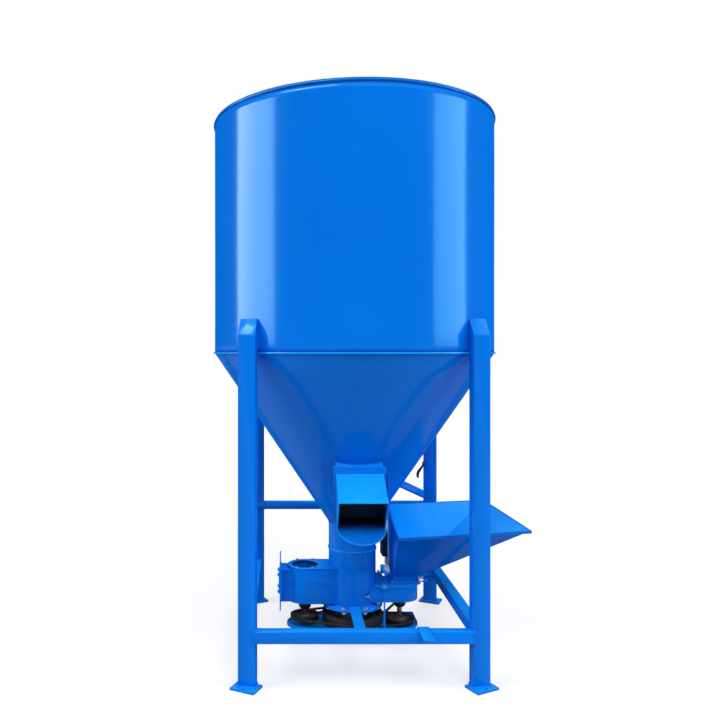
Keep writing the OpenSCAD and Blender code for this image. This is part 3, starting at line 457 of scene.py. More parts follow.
@dataclass(frozen=True)
class SpoutPaintedShade(Finish):
    """Enamel inside the spout with painted shade: nearly black from the gate in, plain at the lip."""

    unshaded: Colour = (0.0008, 0.115, 0.55)
    painted_shade: Colour = (0.0006, 0.006, 0.020)
    lip: float = -0.405
    gate: float = -0.315
    half: float = 0.088
    soft: float = 0.001
    stir: float = 0.012

    def look(self, graph: Graph, groups: Groups) -> Look:
        """Painted shade from the gate inwards and between the side plates, plain colour elsewhere.

        The share of painted shade is the ramp of Y from the lip to the gate, moved a little by noise,
        times the ramp of |X| that ends at the side plates.
        """
        where = graph.place()
        skin = graph.group(groups["paint_skin"], where, Peel=0.2, Sheet=0.3)
        stir = graph.between(graph.noise(where, 30.0, 4.0, 0.6), -self.stir, self.stir)
        inwards = graph.ramp(graph.plus(graph.along(where, "Y"), stir), self.lip, self.gate)
        aside = graph.math("ABSOLUTE", graph.along(where, "X"))
        middle = graph.ramp(aside, self.half + self.soft, self.half - self.soft)
        # Painted shade: the inside of the spout darkens where the hood and side plates shade it
        painted_shade = graph.times(inwards, middle, True)
        rough = graph.between(painted_shade, 0.32, 0.62)
        return Look({
            "Base Color": graph.mix(painted_shade, self.unshaded, self.painted_shade),
            "Roughness": graph.plus(rough, graph.times(skin["Specks"], 0.1)),
            "Specular IOR Level": 0.15,
        }, skin["Height"])


@dataclass(frozen=True)
class BeltRubber(Finish):
    """Black belt rubber with a woven cover and greyed flanks."""

    def look(self, graph: Graph, groups: Groups) -> Look:
        """Fine diagonal weave in the bump, worn grey in clouds."""
        where = graph.place()
        weave = graph.add("ShaderNodeTexWave", {"Vector": where, "Scale": 260.0, "Distortion": 1.5},
                          wave_type="BANDS", bands_direction="DIAGONAL")
        worn = graph.ramp(graph.noise(where, 24.0, 4.0, 0.6), 0.4, 0.75)
        return Look({
            "Base Color": graph.mix(worn, (0.010, 0.010, 0.011), (0.030, 0.030, 0.031)),
            "Roughness": graph.between(worn, 0.62, 0.8),
        }, weave.outputs["Fac"], 0.4, 0.0005)


@dataclass(frozen=True)
class PaleFloor(Finish):
    """A matt floor that keeps the object's shadow and glows where it is seen, so it reads white."""

    glow: float = 0.56

    def look(self, graph: Graph, groups: Groups) -> Look:
        """Glows for the camera, through glass, and in reflections of the floor far behind."""
        where = graph.place()
        path = graph.add("ShaderNodeLightPath").outputs
        behind = graph.ramp(graph.along(where, "Y"), 3.0, 8.0)
        seen = graph.larger(path["Is Camera Ray"], path["Is Transmission Ray"])
        seen = graph.larger(seen, graph.times(path["Is Glossy Ray"], behind))
        return Look({
            "Base Color": graph.mix(graph.noise(where, 0.7, 3.0), (0.42,) * 3, (0.44,) * 3),
            "Roughness": 0.85,
            "Specular IOR Level": 0.0,
            "Emission Color": WHITE,
            "Emission Strength": graph.times(seen, self.glow),
        })


# Surfaces


@dataclass
class Surface:
    """Points and faces: the corners of all faces in one row, and each face's corner count."""

    points: Points
    corners: np.ndarray
    counts: np.ndarray

    @classmethod
    def rings(cls, rings: Points, closed: bool) -> Surface:
        """Skin over rings of points, with quads between neighbouring rings.

        The rings run anticlockwise seen against the way they follow each other, so faces point out.

        Args:
            rings: an array of rings by points by 3.
            closed: whether the last ring joins the first; if not, both ends get a flat face.

        Returns:
            The surface.
        """
        rows, columns = rings.shape[:2]
        i = np.arange(rows if closed else rows - 1)[:, None]
        j = np.arange(columns)[None, :]
        this, other = i * columns, (i + 1) % rows * columns
        ahead = (j + 1) % columns
        corners = np.stack([this + j, this + ahead, other + ahead, other + j], -1).ravel()
        counts = np.full(len(corners) // 4, 4)
        if not closed:
            ring = np.arange(columns)
            corners = np.concatenate([corners, ring[::-1], (rows - 1) * columns + ring])
            counts = np.concatenate([counts, [columns, columns]])
        return cls(rings.reshape(-1, 3), corners, counts)

    @classmethod
    def joined(cls, parts: Iterable[Surface]) -> Surface:
        """Several surfaces as one, with each part's corners moved up by the points before it."""
        parts = list(parts)
        starts = np.cumsum([0] + [len(part.points) for part in parts[:-1]])
        return cls(np.concatenate([part.points for part in parts]),
                   np.concatenate([part.corners + start for part, start in zip(parts, starts)]),
                   np.concatenate([part.counts for part in parts]))

    def moved(self, rows: Points, shift: Vector = (0.0, 0.0, 0.0)) -> Surface:
        """The surface with points p turned into p @ rows + shift.

        Where the rows mirror it, each face's corners are put in the opposite order.

        Args:
            rows: a 3 by 3 array whose rows are the new directions of X, Y and Z.
            shift: added to every point.

        Returns:
            The moved surface.
        """
        corners = self.corners
        if np.linalg.det(rows) < 0.0:
            starts = np.cumsum(self.counts) - self.counts
            face = np.repeat(np.arange(len(self.counts)), self.counts)
            corners = corners[2 * starts[face] + self.counts[face] - 1 - np.arange(len(corners))]
        points = self.points @ np.asarray(rows, float) + np.asarray(shift, float)
        return Surface(points, corners, self.counts)

    def standing(self, foot: Vector, axis: Vector = Z_AXIS, face: Vector = X_AXIS) -> Surface:
        """The surface with its origin at foot, its Z along axis and its X towards face."""
        z = np.asarray(axis, float) / np.linalg.norm(axis)
        x = np.asarray(face, float) - np.dot(face, z) * z
        x /= np.linalg.norm(x)
        return self.moved(np.stack([x, np.cross(z, x), z]), foot)

    def mirrored(self, x: bool = False, y: bool = False) -> Surface:
        """The surface mirrored across the planes x = 0 and y = 0, as asked."""
        return self.moved(np.diag([-1.0 if x else 1.0, -1.0 if y else 1.0, 1.0]))

    def mesh(self, name: str, smooth: bool = True) -> bpy.types.Mesh:
        """A Blender mesh of the surface, shaded smooth or flat."""
        made = bpy.data.meshes.new(name)
        made.vertices.add(len(self.points))
        made.vertices.foreach_set("co", np.asarray(self.points, np.float32).ravel())
        made.loops.add(len(self.corners))
        made.loops.foreach_set("vertex_index", self.corners.astype(np.int32))
        made.polygons.add(len(self.counts))
        starts = np.cumsum(self.counts) - self.counts
        made.polygons.foreach_set("loop_start", starts.astype(np.int32))
        made.update(calc_edges=True)
        made.validate()
        made.polygons.foreach_set("use_smooth", np.full(len(made.polygons), smooth))
        return made


def circle(radius: float, count: int) -> Points:
    """Points of a circle, anticlockwise: (r cos a, r sin a)."""
    a = np.linspace(0.0, TAU, count, endpoint=False)
    return np.stack([radius * np.cos(a), radius * np.sin(a)], -1)


def revolve(profile: Sequence[Vector], turns: int, closed: bool = False,
            swell: Callable[[Points, Points], Points] | None = None) -> Surface:
    """A profile turned about Z: x = r cos a, y = r sin a, z = z.

    Args:
        profile: radius and height of each ring, upwards on the outside.
        turns: number of steps round the axis.
        closed: whether the profile closes on itself; if not, the ends are flat.
        swell: adds to the radius, given arrays of angle and height.

    Returns:
        The surface.
    """
    line = np.asarray(profile, float)
    angle = np.linspace(0.0, TAU, turns, endpoint=False)[None, :]
    radius, height = line[:, :1], line[:, 1:]
    if swell is not None:
        radius = radius + swell(angle, height)
    rings = np.stack([radius * np.cos(angle), radius * np.sin(angle), height + 0.0 * angle], -1)
    return Surface.rings(rings, closed)


def sweep(path: Points, section: Points, up: Vector, closed: bool = False) -> Surface:
    """A section carried along a path: each ring is path + side * x + lift * y.

    Args:
        path: the path's points.
        section: points in side and lift, anticlockwise, one set for all rings or one per ring.
        up: the direction that the section's lift keeps near.
        closed: whether the path joins its start.

    Returns:
        The surface.
    """
    if closed:
        ahead = np.roll(path, -1, 0) - np.roll(path, 1, 0)
    else:
        ahead = np.gradient(path, axis=0)
    ahead = ahead / np.linalg.norm(ahead, axis=1, keepdims=True)
    side = np.cross(np.asarray(up, float), ahead)
    side /= np.linalg.norm(side, axis=1, keepdims=True)
    lift = np.cross(ahead, side)
    rings = np.broadcast_to(section, (len(path),) + section.shape[-2:])
    rings = path[:, None] + side[:, None] * rings[..., :1] + lift[:, None] * rings[..., 1:]
    return Surface.rings(rings, closed)


def slab(outline: Sequence[Vector], low: float, high: float) -> Surface:
    """A flat outline, anticlockwise, made solid between two heights."""
    flat = np.asarray(outline, float)
    rings = [np.column_stack([flat, np.full(len(flat), z)]) for z in (low, high)]
    return Surface.rings(np.stack(rings), False)


def walk(corners: Sequence[Vector], step: float, closed: bool = False) -> Points:
    """Points at equal steps along the straight runs between corners."""
    line = np.asarray(corners, float)
    if closed:
        line = np.concatenate([line, line[:1]])
    run = np.concatenate([[0.0], np.cumsum(np.linalg.norm(np.diff(line, axis=0), axis=1))])
    at = np.linspace(0.0, run[-1], max(6, int(run[-1] / step)), endpoint=not closed)
    return np.stack([np.interp(at, run, line[:, k]) for k in range(3)], -1)


def rounded(half_x: float, half_y: float, radius: float, steps: int = 5) -> Points:
    """A rectangle round the origin with rounded corners, anticlockwise."""
    a = np.linspace(0.0, TAU / 4, steps)
    arcs = []
    for k, (sx, sy) in enumerate(((1, 1), (-1, 1), (-1, -1), (1, -1))):
        turn = a + k * TAU / 4
        centre = np.array([sx * (half_x - radius), sy * (half_y - radius)])
        arcs.append(centre + radius * np.stack([np.cos(turn), np.sin(turn)], -1))
    return np.concatenate(arcs)


def hex_bolt(size: float) -> Surface:
    """A hexagon head on its washer, standing on the XY plane, for a thread of this size."""
    washer = np.array([(1.05, 0.0), (1.08, 0.08), (1.0, 0.16)])
    head = np.array([(0.90, 0.15), (0.93, 0.19), (0.93, 0.66), (0.78, 0.76)])
    return Surface.joined([revolve(size * washer, 24), revolve(size * head, 6)])


def pan_screw(size: float) -> Surface:
    """A pan-head screw with a socket sunk into its crown, standing on the XY plane."""
    head = np.array([(0.95, 0.0), (1.0, 0.10), (0.93, 0.42), (0.72, 0.60), (0.42, 0.64),
                     (0.36, 0.30)])
    return revolve(size * head, 20)


# Dressing of pieces


def round_edges(piece: bpy.types.Object, width: float) -> None:
    """Rounds a piece's sharp edges with a two-step bevel and keeps flat faces flat in shading."""
    bevel = piece.modifiers.new("round_edges", "BEVEL")
    bevel.width = width
    bevel.segments = 2
    bevel.limit_method = "ANGLE"
    bevel.angle_limit = math.radians(32.0)
    bevel.harden_normals = True
    bevel.use_clamp_overlap = True


class Workshop:
    """Holds the frame's nodes, the finishes and the ways to dress a piece."""

    def __init__(self, frame: dict) -> None:
        """Builds every finish once.
        """
        self.nodes: dict[str, bpy.types.Object] = frame["nodes"]
        parts = frame["record"]["subparts"]
        self.slots = {part["node"]: Slot(part["material_slot"]) for part in parts}
        finishes = {
            Slot.BLUE: Enamel("blue_enamel", (0.0006, 0.168, 0.75)),
            # A lighter copy of the blue enamel that makes its parts read as more brightly lit: painted
            # light
            Slot.LIT_TRIM: Enamel("bright_blue_enamel", (0.004, 0.30, 0.95), wear=0.05, top_light=0.2),
            Slot.EDGE: Enamel("dark_edge_enamel", (0.0007, 0.115, 0.55), roughness=0.3),
            Slot.ZINC: Steel("zinc_plate", (0.70, 0.71, 0.72), roughness=0.26, stain=0.12),
            Slot.SHAFT: Steel("turned_shaft", (0.42, 0.42, 0.43), roughness=0.24, stain=0.4),
            Slot.MILL: Steel("mill_sheet", (0.36, 0.37, 0.39), roughness=0.42, stain=0.5),
            Slot.IRON: Casting("black_casting"),
            Slot.BELT: BeltRubber("belt_cover"),
            Slot.MOTOR: Enamel("motor_grey_enamel", (0.42, 0.52, 0.68), roughness=0.38, dust=0.12,
                               top_light=0.0),
            Slot.NAVY: Enamel("navy_box_enamel", (0.006, 0.018, 0.07), roughness=0.32, top_light=0.0),
        }
        groups = shared_groups()
        self.finish = {slot: finish.make(groups) for slot, finish in finishes.items()}
        self.web = Casting("browned_web", (0.060, 0.045, 0.036), (0.11, 0.092, 0.078), 0.1,
                           0.2).make(groups)
        # Painted shade: darker enamel inside the spout and on the gate plate, where the hood shades
        # them
        self.painted_spout_shade = SpoutPaintedShade("spout_painted_shade").make(groups)
        self.gate = SpoutPaintedShade("gate_painted_shade", painted_shade=(0.005, 0.019, 0.058)).make(groups)
        self.floor = PaleFloor("pale_floor").make(groups)

    def make(self, name: str, parts: Iterable[Surface], slot: Slot, body: Body = Body.ROOT,
             replaces: Sequence[str] = (), bevel: float = 0.0) -> bpy.types.Object:
        """Builds one piece from surfaces, dresses it and makes it ride.

        Args:
            name: the piece's name.
            parts: its surfaces.
            slot: the material slot that it takes its finish from.
            body: the body that it rides on.
            replaces: CAD nodes that it hides.
            bevel: width of the rounding of its sharp edges.

        Returns:
            The piece.
        """
        mesh = Surface.joined(parts).mesh(name)
        mesh.materials.append(self.finish[slot])
        piece = bpy.data.objects.new(name, mesh)
        bpy.context.scene.collection.objects.link(piece)
        if bevel > 0.0:
            round_edges(piece, bevel)
        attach(piece, body.value)
        if replaces:
            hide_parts(*replaces)
        LOG.info("piece %s on %s: %d faces", name, body.value, len(mesh.polygons))
        return piece

    def dress_nodes(self, widths: dict[str, float], usual: float = 0.0006) -> None:
        """Gives every CAD node its finish and small round edges.

        Args:
            widths: rounding width by node where it isn't the usual one.
            usual: the usual width.
        """
        for name, node in self.nodes.items():
            slot = self.slots[name]
            node.data.materials.clear()
            node.data.materials.append(self.finish[slot])
            node.data.polygons.foreach_set("use_smooth", np.full(len(node.data.polygons), True))
            node.modifiers.new("weld", "WELD").merge_threshold = 1e-5
            if widths.get(name, usual) > 0.0:
                round_edges(node, widths.get(name, usual))
            LOG.info("node %s in %s", name, slot.value)

    def second_finish(self, name: str, finish: bpy.types.Material,
                      pick: Callable[[Points, Points], np.ndarray]) -> None:
        """Gives some faces of a CAD node a second finish.

        Args:
            name: the node.
            finish: the second material.
            pick: tells, from the faces' centres and normals, which faces get it.
        """
        mesh = self.nodes[name].data
        centres = np.empty(3 * len(mesh.polygons), np.float32)
        normals = np.empty_like(centres)
        mesh.polygons.foreach_get("center", centres)
        mesh.polygons.foreach_get("normal", normals)
        mesh.materials.append(finish)
        picked = pick(centres.reshape(-1, 3), normals.reshape(-1, 3))
        mesh.polygons.foreach_set("material_index", picked.astype(np.int32))


@dataclass
class Welder:
    """Lays painted weld beads and makes one piece of them."""

    radius: float = 0.0024
    seed: int = 7
    step: float = 0.0022
    ripple: float = 0.12
    wander: float = 0.10
    beads: list[Surface] = field(default_factory=list)

    def lay(self, corners: Sequence[Vector], closed: bool = False, up: Vector = Z_AXIS,
            radius: float = 0.0) -> Surface:
        """Lays a bead: a round section whose radius ripples like laid coins, and wanders a little.

        Args:
            corners: the seam's corners or points.
            closed: whether the seam closes; if not, the bead tapers at its ends.
            up: a direction that the seam never runs along.
            radius: the bead's mean radius, if it isn't the welder's.

        Returns:
            The bead.
        """
        path = walk(corners, self.step, closed)
        at = np.arange(len(path))
        rng = np.random.default_rng(self.seed + len(self.beads))
        drift = np.interp(at, np.linspace(0, len(path), 12), rng.uniform(-1, 1, 12))
        size = (radius or self.radius) * (1.0 + self.ripple * np.abs(np.sin(at * math.pi / 3.0)))
        size = size * (1.0 + self.wander * drift)
        if not closed:
            size = size * np.clip(np.minimum(at, at[::-1]) / 3.0 + 0.35, 0.0, 1.0)
        bead = sweep(path, circle(1.0, 8)[None] * size[:, None, None], up, closed)
        self.beads.append(bead)
        return bead

    def finish(self, shop: Workshop, name: str) -> None:
        """Makes one piece of all the beads laid so far."""
        shop.make(name, self.beads, Slot.BLUE)
        self.beads = []


# Sub-assemblies


@dataclass
class Drum:
    """The drum's wall, its lap seam at the back and the stitch welds under its rim."""

    shop: Workshop
    steps: int = 288
    rows: int = 40
    thick: float = 0.004
    waviness: float = 0.0005
    stitches: int = 24
    stitch_half: float = 0.022
    strip_half: float = 0.021
    sunk: float = 0.0002

    def swell(self, angle: Points, height: Points) -> Points:
        """Unevenness of rolled sheet: a few long waves round the drum that die away at both ends."""
        share = np.clip((height - self.low) / (self.high - self.low), 0.0, 1.0)
        waves = np.sin(5 * angle + 1.1 + 1.3 * share) + 0.6 * np.sin(9 * angle + 0.4 - 1.9 * share)
        return self.waviness * np.sqrt(np.sin(math.pi * share) + 1e-9) * waves

    def build(self) -> None:
        """Makes the wall as a closed profile turned about the axis, then the seam and the welds."""
        low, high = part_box("drum_shell")
        self.radius, self.low, self.high = high.x, low.z, high.z
        rise = np.linspace(self.low, self.high, self.rows)
        outer = np.stack([np.full(self.rows, self.radius - 1.6 * self.waviness), rise], -1)
        inner = np.stack([np.full(self.rows, self.radius - self.thick), rise[::-1]], -1)
        wall = revolve(np.concatenate([outer, inner]), self.steps, True, self.swell)
        self.shop.make("drum_wall", [wall], Slot.BLUE, replaces=["drum_shell"])
        self.seam()

    def seam(self) -> None:
        """A flat lap strip up the back with a bead on each side, and short welds below the rim."""
        r, back = self.radius, self.radius - self.sunk
        rise = np.linspace(self.low + 0.004, self.high - 0.004, 24)
        path = np.stack([np.zeros(24), np.full(24, back), rise], -1)
        strip = sweep(path, rounded(self.strip_half, 0.0012, 0.0008, 3), Y_AXIS)
        self.shop.make("drum_lap_strip", [strip], Slot.BLUE)
        welder = Welder(radius=0.0016)
        for x in (-self.strip_half, self.strip_half):
            welder.lay([(x, back, self.low + 0.006), (x, back, self.high - 0.006)], up=Y_AXIS)
        for angle in np.linspace(0.0, TAU, self.stitches, endpoint=False) + 0.07:
            a = angle + np.linspace(-self.stitch_half, self.stitch_half, 6)
            z = np.full(6, self.high - 0.0012)
            welder.lay(np.stack([r * np.cos(a), r * np.sin(a), z], -1))
        welder.finish(self.shop, "drum_welds")


@dataclass
class Cone:
    """The cone's seams, the weld round the neck and the one round the spout's collar."""

    shop: Workshop
    collar_half: float = 0.086
    collar_slope: float = math.radians(42.0)

    def on_cone(self, x: Points, z: Points) -> Points:
        """Points of the cone's front at x and z: y = -sqrt(r(z)^2 - x^2)."""
        radius = self.neck + self.slope * (z - self.low)
        return np.stack([x, -np.sqrt(np.maximum(radius ** 2 - x ** 2, 0.0)), z], -1)

    def build(self) -> None:
        """Lays all the beads."""
        low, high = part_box("cone_shell")
        self.low, self.neck = low.z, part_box("neck_tube")[1].x
        self.slope = (high.x - self.neck) / (high.z - low.z)
        welder = Welder(radius=0.0017, seed=31)
        seam = [(0, self.neck, low.z + 0.004), (0, high.x - 0.003, high.z - 0.004)]
        welder.lay(seam, up=Y_AXIS, radius=0.0024)
        angle = np.linspace(0.0, TAU, 90, endpoint=False)
        ring = np.stack([np.cos(angle), np.sin(angle), 0.0 * angle], -1)
        welder.lay(ring * (self.neck + 0.0004) + (0, 0, low.z - 0.0005), True)
        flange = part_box("base_flange")[1].z
        welder.lay(ring * (self.neck + 0.0012) + (0, 0, flange + 0.0012), True, radius=0.0026)
        self.collar(welder)
        welder.finish(self.shop, "cone_welds")

    def collar(self, welder: Welder) -> None:
        """Beads where the collar's sides and its sloping top meet the cone.

        The top's bead solves z = top + (y - back) tan(slope) with y on the cone, by repeated
        substitution over the whole row of x at once.

        Args:
            welder: lays the beads.
        """
        back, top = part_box("gate_frame")[1].y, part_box("gate_frame")[1].z - 0.003
        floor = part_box("spout_collar")[0].z
        x = np.linspace(-self.collar_half + 0.002, self.collar_half - 0.002, 60)
        z = np.full(60, top)
        for _ in range(40):
            z = top + (self.on_cone(x, z)[:, 1] - back) * math.tan(self.collar_slope)
        welder.lay(self.on_cone(x, z) + (0.0, -0.0008, 0.0008))
        for side in SIDES:
            heights = np.linspace(floor + 0.006, z[0], 50)
            edge = self.on_cone(np.full(50, side * (self.collar_half + SKIN)), heights)
            welder.lay(edge, up=X_AXIS)


@dataclass
class Spout:
    """The rolled hem of the spout's lip and the painted shade inside the spout."""

    shop: Workshop
    half: float = 0.086
    floor_slope: float = math.radians(23.8)
    sheet: float = 0.004
    hem: float = 0.0024

    def build(self) -> None:
        """Carries a round hem along the lip's half circle, on the floor's slope."""
        frame_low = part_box("gate_frame")[0]
        gate_y = -(frame_low.y - 0.002)
        floor_z = frame_low.z + 0.016
        centre_y = gate_y + self.half * 0.56
        angle = np.linspace(math.pi, TAU, 60)
        y = -centre_y + (self.half - 0.0008) * np.sin(angle)
        x = (self.half - 0.0008) * np.cos(angle)
        z = floor_z - (-y - gate_y) * math.tan(self.floor_slope) - self.sheet / 2
        hem = sweep(np.stack([x, y, z], -1), circle(self.hem, 10), Z_AXIS)
        self.shop.make("spout_lip_hem", [hem], Slot.BLUE)
        self.shade_inside(floor_z + 0.06)

    def shade_inside(self, middle: float) -> None:
        """Gives the painted shade to the faces that look into the spout and to the gate's faces.

        Args:
            middle: a height between the spout's floor and its roof.
        """
        def inner(centres: Points, normals: Points) -> np.ndarray:
            """Side faces that look at the middle, floors that look up, roofs that look down."""
            x, above = centres[:, 0], centres[:, 2] > middle
            sides = (normals[:, 0] * np.sign(x) < -0.9) & (np.abs(x) < self.half)
            return sides | ((normals[:, 2] > 0.5) & ~above) | ((normals[:, 2] < -0.5) & above)

        for node in ("spout_chute", "spout_collar", "gate_frame"):
            self.shop.second_finish(node, self.shop.painted_spout_shade, inner)
        # The gate plate's faces inside the mouth take the painted shade as well
        plate_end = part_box("discharge_gate")[1].x - 0.024
        self.shop.second_finish("discharge_gate", self.shop.gate,
                                lambda c, n: (np.abs(n[:, 1]) > 0.9) & (c[:, 0] < plate_end))


@dataclass
class Legs:
    """Welds of the legs, beams, feet and drum pads."""

    shop: Workshop
    place: tuple[float, float] = (0.39822, 0.42854)
    half: tuple[float, float] = (0.030, 0.020)
    turn: float = math.radians(-10.0)
    front_shift: float = 0.010
    beam: float = 0.020
    low: tuple[float, float] = (0.160, 0.200)
    rear: tuple[float, float] = (0.431, 0.463)

    def build(self) -> None:
        """Lays every bead at the front left leg and mirrors it to the others."""
        self.centre = np.array([-self.place[0], -self.place[1]])
        self.u = np.array([math.cos(self.turn), math.sin(self.turn)])
        self.v = np.array([-self.u[1], self.u[0]])
        welder = Welder()
        welder.beads = self.beam_ends(welder) + self.feet(welder) + self.pads(welder)
        welder.finish(self.shop, "frame_welds")

    def beam_end(self, welder: Welder, middle: float, heights: tuple[float, float],
                 along: int) -> Surface:
        """A bead round a square beam where it meets the leg's turned face.

        The face is the line (p - c) . n = h, so the missing coordinate is (h - k n_k) / n_other.

        Args:
            welder: lays the bead.
            middle: the beam's middle across its length.
            heights: the beam's underside and top.
            along: 0 for a beam along X, 1 for one along Y.

        Returns:
            The bead.
        """
        across = middle + self.beam * np.array([-1.0, 1.0, 1.0, -1.0])
        z = np.repeat(heights, 2)
        normal, other = (self.u, self.v)[along], 1 - along
        reach = self.half[along] + SKIN - (across - self.centre[other]) * normal[other]
        ends = self.centre[along] + reach / normal[along]
        flat = (ends, across) if along == 0 else (across, ends)
        return welder.lay(np.stack([*flat, z], -1), True, (*normal, 0.0))

    def beam_ends(self, welder: Welder) -> list[Surface]:
        """Beads at the ends of the front beam, the side beams and the rear cross beam."""
        front = self.beam_end(welder, self.centre[1] - self.front_shift, self.low, 0)
        side = self.beam_end(welder, self.centre[0], self.low, 1)
        rear = self.beam_end(welder, self.centre[1], self.rear, 0)
        beads = [front, front.mirrored(x=True)]
        beads += [side.mirrored(x=x, y=y) for x in BOTH for y in BOTH]
        return beads + [rear.mirrored(y=True), rear.mirrored(x=True, y=True)]

    def feet(self, welder: Welder) -> list[Surface]:
        """Beads round the legs on their foot plates."""
        a, b = self.half[0] + 0.0005, self.half[1] + 0.0005
        corners = [self.centre + sx * a * self.u + sy * b * self.v
                   for sx, sy in ((-1, -1), (1, -1), (1, 1), (-1, 1))]
        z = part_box("foot_plates")[1].z + 0.0008
        bead = welder.lay([(p[0], p[1], z) for p in corners], True, radius=0.003)
        return [bead.mirrored(x=x, y=y) for x in BOTH for y in BOTH]

    def pads(self, welder: Welder) -> list[Surface]:
        """Upright beads where the pads meet the drum, at c + x u + t v on the drum's circle."""
        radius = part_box("drum_shell")[1].x
        low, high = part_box("leg_pads")
        beads = []
        for x in (-self.half[0] + 0.0054, self.half[0] + SKIN):
            q = self.centre + x * self.u
            along = np.dot(q, self.v)
            t = -along - math.sqrt(along ** 2 - np.dot(q, q) + radius ** 2)
            p = q + t * self.v
            ends = [(p[0], p[1], low.z + 0.003), (p[0], p[1], high.z - 0.003)]
            bead = welder.lay(ends, up=X_AXIS)
            beads += [bead.mirrored(x=a, y=b) for a in BOTH for b in BOTH]
        return beads


@dataclass
class Housings:
    """Welds of the two rotor housings and of the flange on the left."""

    shop: Workshop
    left_half: float = 0.068
    right_half: float = 0.071
    neck_half: float = 0.048

    def build(self) -> None:
        """Lays upright beads where the flat sides meet the neck, and a loop at the flange."""
        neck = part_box("neck_tube")[1].x + 0.0004
        welder = Welder(radius=0.002, seed=57)
        rows = (("left_housing", self.left_half, -1), ("right_housing", self.right_half, 1))
        for node, half, side in rows:
            low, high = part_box(node)
            x = side * math.sqrt(neck ** 2 - half ** 2)
            for y in (-half - 0.0004, half + 0.0004):
                welder.lay([(x, y, low.z + 0.004), (x, y, high.z - 0.003)], up=X_AXIS)
        low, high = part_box("left_housing")
        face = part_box("left_flange")[1].x + SKIN
        foot, top = low.z + 0.004, high.z - 0.006
        corners = ((-1, foot), (1, foot), (1, top), (-1, top))
        welder.lay([(face, s * self.neck_half, z) for s, z in corners], True, X_AXIS)
        welder.finish(self.shop, "housing_welds")


@dataclass
class Hopper:
    """Welded corners of the sheet-metal hopper, from the rim's corners to the outlet's."""

    shop: Workshop
    rim: tuple = ((0.182, 0.268), (0.623, 0.355), (0.644, -0.205), (0.142, -0.315))
    outlet: tuple = ((0.159, 0.060), (0.257, 0.060), (0.257, -0.038), (0.159, -0.038))

    def build(self) -> None:
        """Lays a bead down each outer corner; faces that look up get the lighter blue as painted
        light.
        """
        low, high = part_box("hopper_shell")
        welder = Welder(radius=0.0016, seed=83)
        for top, foot in zip(self.rim, self.outlet):
            a, b = np.array([*foot, low.z]), np.array([*top, high.z])
            welder.lay([a + 0.02 * (b - a), a + 0.94 * (b - a)])
        welder.finish(self.shop, "hopper_welds")
        # Painted light: the faces that look up take the lighter copy of the blue, as if lit from above
        self.shop.second_finish("hopper_shell", self.shop.finish[Slot.LIT_TRIM],
                                lambda c, n: n[:, 2] > 0.2)


@dataclass
class Drive:
    """Keys and grub screws of the pulleys, grease nipples, finishes of pulleys and rods."""

    shop: Workshop
    rotor_x: float = 0.190
    motor: tuple[float, float] = (0.256, 0.330)
    rods: tuple = ((0.117, -0.094), (0.117, 0.094), (-0.106, 0.106))
    rod_radius: float = 0.0035
    key_width: float = 0.006
    rim: float = 0.0145

    def build(self) -> None:
        """Makes the small parts and picks the second finishes."""
        wheels = (("centre_pulley", 0.0, 0.0, 0.018, Body.AUGER),
                  ("left_pulley", -self.rotor_x, 0.0, 0.010, Body.LEFT_ROTOR),
                  ("right_pulley", self.rotor_x, 0.0, 0.010, Body.RIGHT_ROTOR),
                  ("motor_pulley", *self.motor, 0.012, Body.MOTOR_ROTOR))
        for node, x, y, shaft, body in wheels:
            self.key(node, x, y, shaft, body)
            self.brown_web(node, x, y)
        self.nipples()
        self.paint_rods()

    def key(self, node: str, x: float, y: float, shaft: float, body: Body) -> None:
        """A key between shaft and hub that stands out above, and a grub screw in the hub's side.

        Args:
            node: the pulley.
            x: its axis along X.
            y: its axis along Y.
            shaft: the shaft's radius.
            body: what the pulley rides on.
        """
        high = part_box(node)[1].z
        key = slab(rounded(0.0024, self.key_width / 2, 0.001, 3), high - 0.004, high + 0.0025)
        screw = revolve([(0.0028, -0.002), (0.0028, 0.0008), (0.0022, 0.0014), (0.0013, 0.0013),
                         (0.0012, 0.0004)], 12)
        hub = shaft + 0.009
        parts = [key.standing((x + shaft + 0.0008, y, 0.0)),
                 screw.standing((x, y - hub, high - 0.0032), (0.0, -1.0, 0.0), Z_AXIS)]
        self.shop.make(node + "_key", parts, Slot.SHAFT, body, bevel=0.0004)

    def brown_web(self, node: str, x: float, y: float) -> None:
        """Gives the pulley's web and hub a browned finish: faces well inside the rim."""
        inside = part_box(node)[1].x - x - self.rim
        self.shop.second_finish(node, self.shop.web,
                                lambda c, n: np.hypot(c[:, 0] - x, c[:, 1] - y) < inside)

    def nipples(self) -> None:
        """Grease nipples: a hexagon foot, a waist and a ball, on the three upper bearings."""
        ball = [(0.0030, 0.0028), (0.0030, 0.0045), (0.0017, 0.0058), (0.0017, 0.0066),
                (0.0024, 0.0078), (0.0022, 0.0092), (0.0012, 0.0100)]
        hexagon = revolve([(0.0040, -0.002), (0.0040, 0.003)], 6)
        nipple = Surface.joined([hexagon, revolve(ball, 14)])
        left, right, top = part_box("left_bearing"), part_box("right_bearing"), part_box("top_bearing")
        lean = np.array([math.cos(2.4), math.sin(2.4), 0.0])
        spots = []
        for side, box in zip(SIDES, (left, right)):
            foot = np.array([side * self.rotor_x, 0.0, box[0].z + 0.018])
            spots.append(nipple.standing(foot + 0.025 * lean, lean, Z_AXIS))
        spots.append(nipple.standing((0.0, -0.039, top[0].z + 0.022), (0.0, -1.0, 0.25), Z_AXIS))
        self.shop.make("grease_nipples", spots, Slot.ZINC)

    def paint_rods(self) -> None:
        """Paints the tray's rods blue and leaves their nuts plated."""
        def on_rod(centres: Points, normals: Points) -> np.ndarray:
            """Faces as near a rod's axis as its own skin."""
            away = [np.hypot(centres[:, 0] - x, centres[:, 1] - y) for x, y in self.rods]
            return np.min(away, axis=0) < self.rod_radius + 0.0001

        self.shop.second_finish("tray_hangers", self.shop.finish[Slot.BLUE], on_rod)


